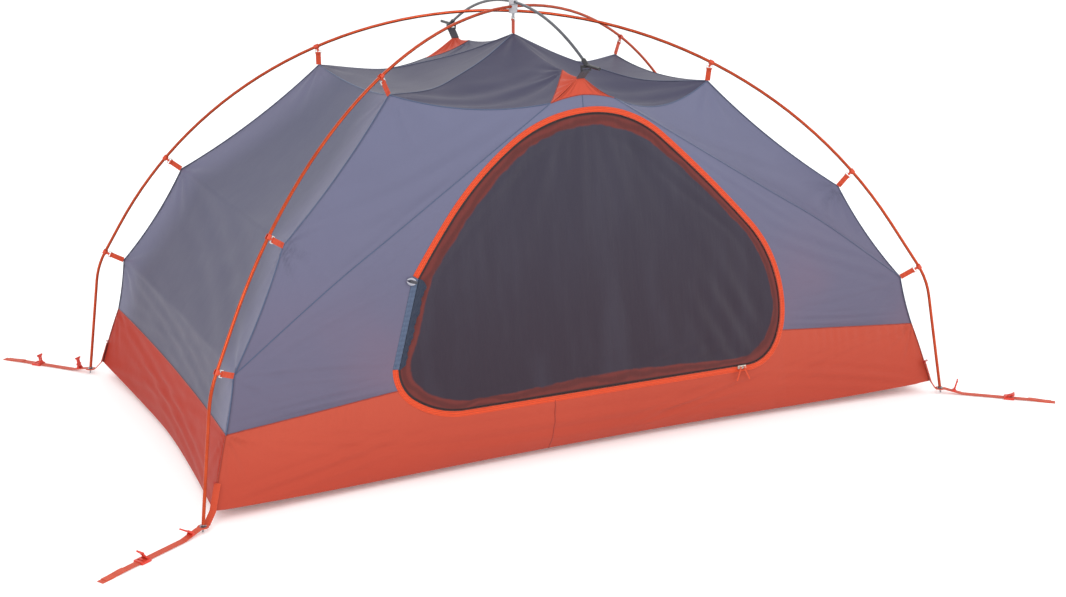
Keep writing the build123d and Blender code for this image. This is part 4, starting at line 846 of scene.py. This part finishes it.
def build_seams(flanks, tub_grids):
    """Folded and stitched seams along every panel's edge."""
    seams = Piece()
    for end in ENDS:
        rounded_strip(seams, end_top(end), FLAT, GREY)
        rounded_strip(seams, tub_top(end), FLAT, ORANGE)
        for side in SIDES:
            for line, size, slot in (
                    (whole_corner, FELLED, GREY), (roof_seam, FLAT, GREY), (roof_edge, FLAT, GREY),
                    (front_seam, SLIM, GREY), (tub_corner, FELLED, ORANGE), (patch_back, SLIM, ORANGE),
                    (patch_front, SLIM, ORANGE)):
                rounded_strip(seams, line(end, side), size, slot)
    for side in SIDES:
        for flank in flanks[side]:
            rounded_strip(seams, flank, FLAT, ORANGE)
        crest = LINE[LINE[:, 1] > 900]
        top = on_wall(*crest[np.abs(crest[:, 0]).argmin()], 0, side)
        rounded_strip(seams, bowed(top, corner["patch_middle", side], (0, 0, 0), 8), SLIM, GREY)
        column = np.abs(tub_grids[side][0, :, 0] - side * TUB_SEAM_X).argmin()
        rounded_strip(seams, tub_grids[side][:, column], TUB_MIDDLE, ORANGE)
    return seams.build("panel_seams", [SEAM, SEAM_ORANGE])


# === doors ===
DOOR_GAP = 9.5  # from the outline in to the door cloth's edge
DOOR_CENTRE = np.array([0.0, 470.0])
HANG_U, HANG_V = 20.0, 1120.0  # the door's long folds hang from this place above it
SINK, SINK_WIDTH = 5.6, 80  # the cloth lies this deep, this far in from its edge
FAR_IN = 12.0  # a mask far beyond the door's red border
FLUSH = 0.05  # a strip's edges stand this far off the wall
TAPE_CROWN = [(9, FLUSH), (9, 0.9), (7.6, 1.25), (0.6, 1.2), (0, 0.8), (-0.6, 1.2), (-5.8, 1.2),
              (-8.6, 1.1), (-8.8, FLUSH)]
BINDING_RIBS = (8.8, 0.8), (6, 1.0), (3, 0.75), (0, 1.0), (-3, 0.75), (-6, 1.0), (-8.6, 0.8)
COIL_OFFSET, COIL_HEIGHT = -7.75, 1.55
TAPE_STEP, COIL_STEP = 5.0, 0.62  # spacing of the points along the tape and along the coil


def door_panel(side):
    """The soft door inside its zip: rings shrink from its edge to its middle, with hanging folds."""
    edge = shifted(LINE, -DOOR_GAP)
    t = np.linspace(0, 1, 61)[:-1, None, None]
    flat = edge[None] * (1 - t) + DOOR_CENTRE * t
    far = norm(edge[None] - flat, axis=2)
    u, v = flat[..., 0], flat[..., 1]
    inward = smoothstep(np.clip(far / SINK_WIDTH, 0, 1))
    fan = (u - HANG_U) / np.clip(HANG_V - v, 160, None)
    high = np.clip((v - 430) / 330, 0, 1)
    ripple = (1.1 * np.sin(fan * 17 + 0.4) * high + 0.5 * np.sin(fan * 37 + v / 260) * high
              + 0.6 * np.sin(u / 61 - v / 420) + 0.5 * np.sin((u + v * 0.8) / 90))
    shoulder = np.clip(np.abs(u - HANG_U) / 130, 0, 1) * np.clip((v - 470) / 160, 0, 1)
    drawn = np.sin(far / 8.5 + np.sin(v / 70)) * np.exp(-((far - 46) / 28) ** 2) * shoulder
    creases = np.sin((u * 0.9 + v * 0.5) / 11) * np.exp(-((u - 430) / 110) ** 2 - ((v - 330) / 150) ** 2)
    low_creases = np.sin((u * 0.35 - v) / 9) * np.exp(-((u - 250) / 220) ** 2 - ((v - 225) / 45) ** 2)
    n = -0.7 - inward * (SINK + 1.6 * ripple + 3.8 * drawn + 3.2 * creases + 2.7 * low_creases)
    grid = on_wall(u, v, n, side)
    # the red border is wider along the bottom and narrower on the foot side
    low = np.clip((330 - v) / 120, 0, 1)
    foot_flank = np.clip((u - 120) / 200, 0, 1) * (1 - low)
    border = 33 + 5 * low - 13 * foot_flank
    name = SIDE_NAMES[side]
    door = Piece()
    door.grid(grid, mask=far / border, closed=True)
    middle = on_wall(*DOOR_CENTRE, n[-1].mean(), side)
    count = len(edge)
    fan_faces = [(index, (index + 1) % count, count) for index in range(count)]
    door.add(np.vstack([grid[-1], middle]), fan_faces, mask=FAR_IN)
    piece = door.build(f"{name}_door_cloth", [DOOR], f"{name}_door", weld=0.1, is_sheet=True)
    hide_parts(f"{name}_door_panel")
    return piece


def swept(line, side, profile):
    """The surface that (offset, height) pairs sweep along an open line on the wall."""
    return np.stack([on_wall(*shifted(line, offset, closed=False).T, height, side)
                     for offset, height in profile], 1)


def zip_path(step):
    """From the hinge's lower end along the bottom and over the top to the hinge's upper end."""
    line = np.vstack([LINE[HINGE_LOW:], LINE[:HINGE_TOP + 1]])
    length = norm(np.diff(line, axis=0), axis=1).sum()
    return resample(line, int(length / step))


def build_zip(side):
    """Crowned tape with its stitch rows, and a coil whose teeth follow one after another."""
    name = SIDE_NAMES[side]
    made = Piece()
    line, fine = zip_path(TAPE_STEP), zip_path(COIL_STEP)
    made.tube(swept(line, side, TAPE_CROWN), 0)
    for offset in (6.4, 2.2, -3.4):
        row = [(offset + 0.5, 1.1), (offset + 0.35, 1.5), (offset - 0.35, 1.5), (offset - 0.5, 1.1)]
        made.tube(swept(line, side, row), 2)
    tooth = 0.5 - 0.5 * np.cos(np.arange(len(fine)) * pi / 2)
    radius = 0.85 + 0.35 * tooth
    coil = [(COIL_OFFSET + radius * cos(angle), COIL_HEIGHT + radius * 0.8 * sin(angle))
            for angle in around(6)]
    made.tube(swept(fine, side, coil), 1)
    piece = made.build(f"{name}_zip", [TAPE, COIL, THREAD])
    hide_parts(f"{name}_door_zip")
    return piece


def build_bindings():
    """The cloth strips that the doors hinge on, puckered between two rows of stitches."""
    made = Piece()
    for side in SIDES:
        line = resample(LINE[HINGE_TOP:HINGE_LOW + 1], 150)
        index = np.arange(len(line))
        pucker = 0.22 * np.sin(index * 0.9) * np.sin(index * 0.13 + 1) + 0.1
        ribs = [(offset, height + pucker) for offset, height in BINDING_RIBS]
        made.tube(swept(line, side, [(8.8, FLUSH), *ribs, (-8.7, FLUSH)]))
        for offset in (7.0, 1.2):
            made.tube(swept(line, side, [(offset + 0.45, 0.8), (offset, 1.35), (offset - 0.45, 0.8)]), 1)
    piece = made.build("hinge_bindings", [BINDING, SEAM])
    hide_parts("door_bindings")
    return piece


def build_gather(side):
    """Slack door cloth bunched along the inside of the hinge, wide at the top and narrow below."""
    name = SIDE_NAMES[side]
    line = resample(LINE[HINGE_TOP:HINGE_LOW + 1], 110)
    share = np.linspace(0, 1, len(line))
    ends = np.clip(np.minimum(share, 1 - share) / 0.06, 0, 1) ** 0.5
    pucker = np.sin(share * 74 + 2 * np.sin(share * 9))
    width = (25 - 13 * share + 2.0 * np.sin(share * 23) + 1.2 * pucker) * ends + 0.6
    height = (4.6 - 2.2 * share + 0.9 * pucker) * ends
    profile = []
    for q in np.linspace(0, 1, 22):
        roll = np.sin(pi * q) ** 0.6 * (1 + 0.22 * np.sin(q * 14 + share * 60))
        profile.append((-DOOR_GAP - width * q, height * roll - 0.9))
    made = Piece()
    made.grid(swept(line, side, profile))
    piece = made.build(f"{name}_hinge_gather", [GATHER], f"{name}_door", is_sheet=True)
    return piece


# === webbing details ===
STRAP_HALF = 1.6  # the stitches stand this far from the middle of a strap
STITCH, ZIGZAG = 1.6, 0.55  # a stitch's length, and how far it swings to each side


def webbing_axes(node, near, reach):
    """The end, length, width and face directions of the strap of a CAD node that ends near a place."""
    places = node_places(node)
    places = places[norm(places - near, axis=1) < reach]
    centre = places.mean(0)
    ways = np.linalg.svd(places - centre)[2]
    along = ways[0] * np.sign((near - centre) @ ways[0])
    tip = centre + along * ((places - centre) @ along).max()
    return tip, along, ways[1], ways[2]


def stitch_row(piece, start, way, out, length, slot=0):
    """A row of zigzag stitches that stands a little proud of a strap."""
    count = max(int(length / STITCH), 3)
    steps = np.linspace(-0.5, 0.5, count)[:, None] * length
    side_way = np.cross(way, out)
    zigzag = np.where(np.arange(count) % 2, ZIGZAG, -ZIGZAG)[:, None]
    points = start + way * steps + side_way * zigzag
    rings = [points + side_way * cos(angle) * 0.35 + out * (sin(angle) * 0.3 + 0.05)
             for angle in around(5)]
    piece.tube(np.stack(rings, 1), slot)


def bar_tacks(piece, node, near, reach, backs, width, slot=0):
    """Rows of stitches across both faces of a strap, at these distances back from its end."""
    tip, along, across, face = webbing_axes(node, near, reach)
    for facing in (1, -1):
        for back in backs:
            start = tip - along * back + face * facing * STRAP_HALF
            stitch_row(piece, start, across, face * facing, width, slot)


def build_stitches():
    """Bar tacks at the sewn ends of the webbing tabs and straps."""
    made = Piece()
    straps = node_places("corner_straps")
    for end in ENDS:
        for side in SIDES:
            for name in ("low", "middle", "high"):
                bar_tacks(made, "clip_webbing", corner[name, end, side], 70, (4.0, 7.0, 10.0, 22.0), 13)
            ours = straps[(straps[:, 0] * end > 0) & (straps[:, 1] * side > 0)]
            bar_tacks(made, "corner_straps", ours[ours[:, 2].argmax()], 45, (2.0, 3.4, 4.8, 6.2), 17, 2)
    for side in SIDES:
        bar_tacks(made, "brow_straps", corner["patch_point", side], 60, (3.0, 6.0, 9.0), 22, 1)
    return made.build("strap_stitches", [THREAD, SEAM, RED_THREAD])


def build_toggle_loops():
    """Grey cloth loops whose two lips close over the toggles."""
    made = Piece()
    for side in SIDES:
        places = node_places("door_toggles")
        middle = wall_uv(places[places[:, 1] * side > 0], side).mean(0)
        hinge_way = unit(LINE[HINGE_TOP] - LINE[HINGE_LOW])
        outward = np.array([-hinge_way[1], hinge_way[0]])
        for lip in (1, -1):
            t = np.linspace(0, 1, 25)
            bulge = np.sin(pi * t) ** 0.7
            line = middle + outward * (28 * t[:, None] - 9) + hinge_way * (lip * (1.5 + 5.5 * bulge[:, None]))
            size = 1.0 + 2.6 * bulge
            rings = []
            for angle in around(10):
                spread = line + hinge_way * (np.cos(angle) * size)[:, None]
                rings.append(on_wall(*spread.T, 4.4 + size * 0.8 * np.sin(angle), side))
            made.tube(np.stack(rings, 1))
    return made.build("toggle_loops", [LOOP])


# === stage, light and camera ===
def build_stage():
    """A wide pale floor just under the tent."""
    half, below = 60.0, -0.0005
    rim = [(-half, -half, below), (half, -half, below), (half, half, below), (-half, half, below)]
    mesh = bpy.data.meshes.new("studio_floor")
    mesh.from_pydata(rim, [], [(0, 1, 2, 3)])
    paint = Shader("studio_floor_paint", Base_Color=(0.965, 0.965, 0.965, 1), Roughness=0.9,
                   Specular_IOR_Level=0.1, Emission_Color=(1, 1, 1, 1), Emission_Strength=0.14)
    mesh.materials.append(paint.material)
    floor = placed("studio_floor", mesh)


def area_light(name, place, size, power):
    light = bpy.data.lights.new(name, "AREA")
    light.size = size
    light.energy = power
    lamp = placed(name, light)
    lamp.location = place
    aim = Vector((0, 0, 0.4)) - Vector(place)
    lamp.rotation_euler = aim.to_track_quat("-Z", "Y").to_euler()


def build_lights():
    area_light("key", (-3.4, -4.4, 3.6), 3.0, 120)
    area_light("fill", (4.6, -3.4, 2.6), 3.6, 60)
    area_light("rim", (0.5, 5.0, 4.4), 3.6, 50)
    world = bpy.data.worlds.new("studio")
    world.use_nodes = True
    sky = world.node_tree.nodes["Background"].inputs
    sky["Color"].default_value = (1, 1, 1, 1)
    sky["Strength"].default_value = 1.05
    scene.world = world
    scene.view_settings.view_transform = "Standard"


def build_camera():
    azimuth, elevation, distance = radians(-25.49), radians(14.92), 5.180
    target = Vector((0, 0, 0.464))
    lens = bpy.data.cameras.new("camera")
    lens.lens, lens.sensor_width = 57.14, 36
    lens.shift_x, lens.shift_y = 0.0186, -0.0555
    camera = placed("camera", lens)
    away = Vector((sin(azimuth) * cos(elevation), -cos(azimuth) * cos(elevation), sin(elevation)))
    camera.location = target + distance * away
    camera.rotation_euler = (-away).to_track_quat("-Z", "Y").to_euler()
    scene.camera = camera


# === the CAD nodes that stay ===
NODE_MATERIALS = {
    "toggle": TOGGLE, "grommet": GROMMET, "pole_tip": TIP, "ferrule": FERRULE, "shock_cord": CORD_INNER,
    "brow_pole": BROW, "fittings": BLACK_PLASTIC, "pole_clip": CLIP_PLASTIC, "clip_ring": RING_PLASTIC,
    "hub_clip": HUB_PLASTIC, "buckle_base": ORANGE_PLASTIC, "clip_webbing": WEBBING,
    "brow_strap": DARK_WEBBING, "corner_strap": WEBBING, "ladder_lock": ORANGE_PLASTIC,
    "fly_buckle": ORANGE_PLASTIC, "slider": SLIDER, "pull": CORD, "_sections": POLE,
}


def paint_nodes():
    for name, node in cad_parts.items():
        for word, material in NODE_MATERIALS.items():
            if word in name:
                node.data.materials.clear()
                node.data.materials.append(material)


walls_piece, flanks = build_walls()
roof_piece = build_roof()
patch_piece = build_patches()
tub_piece, tub_grids = build_tub(flanks)
floor_piece = build_floor()
build_seams(flanks, tub_grids)
for side in SIDES:
    build_zip(side)
    door_panel(side)
    build_gather(side)
build_bindings()
build_stitches()
build_toggle_loops()
paint_nodes()

build_stage()
build_lights()
build_camera()
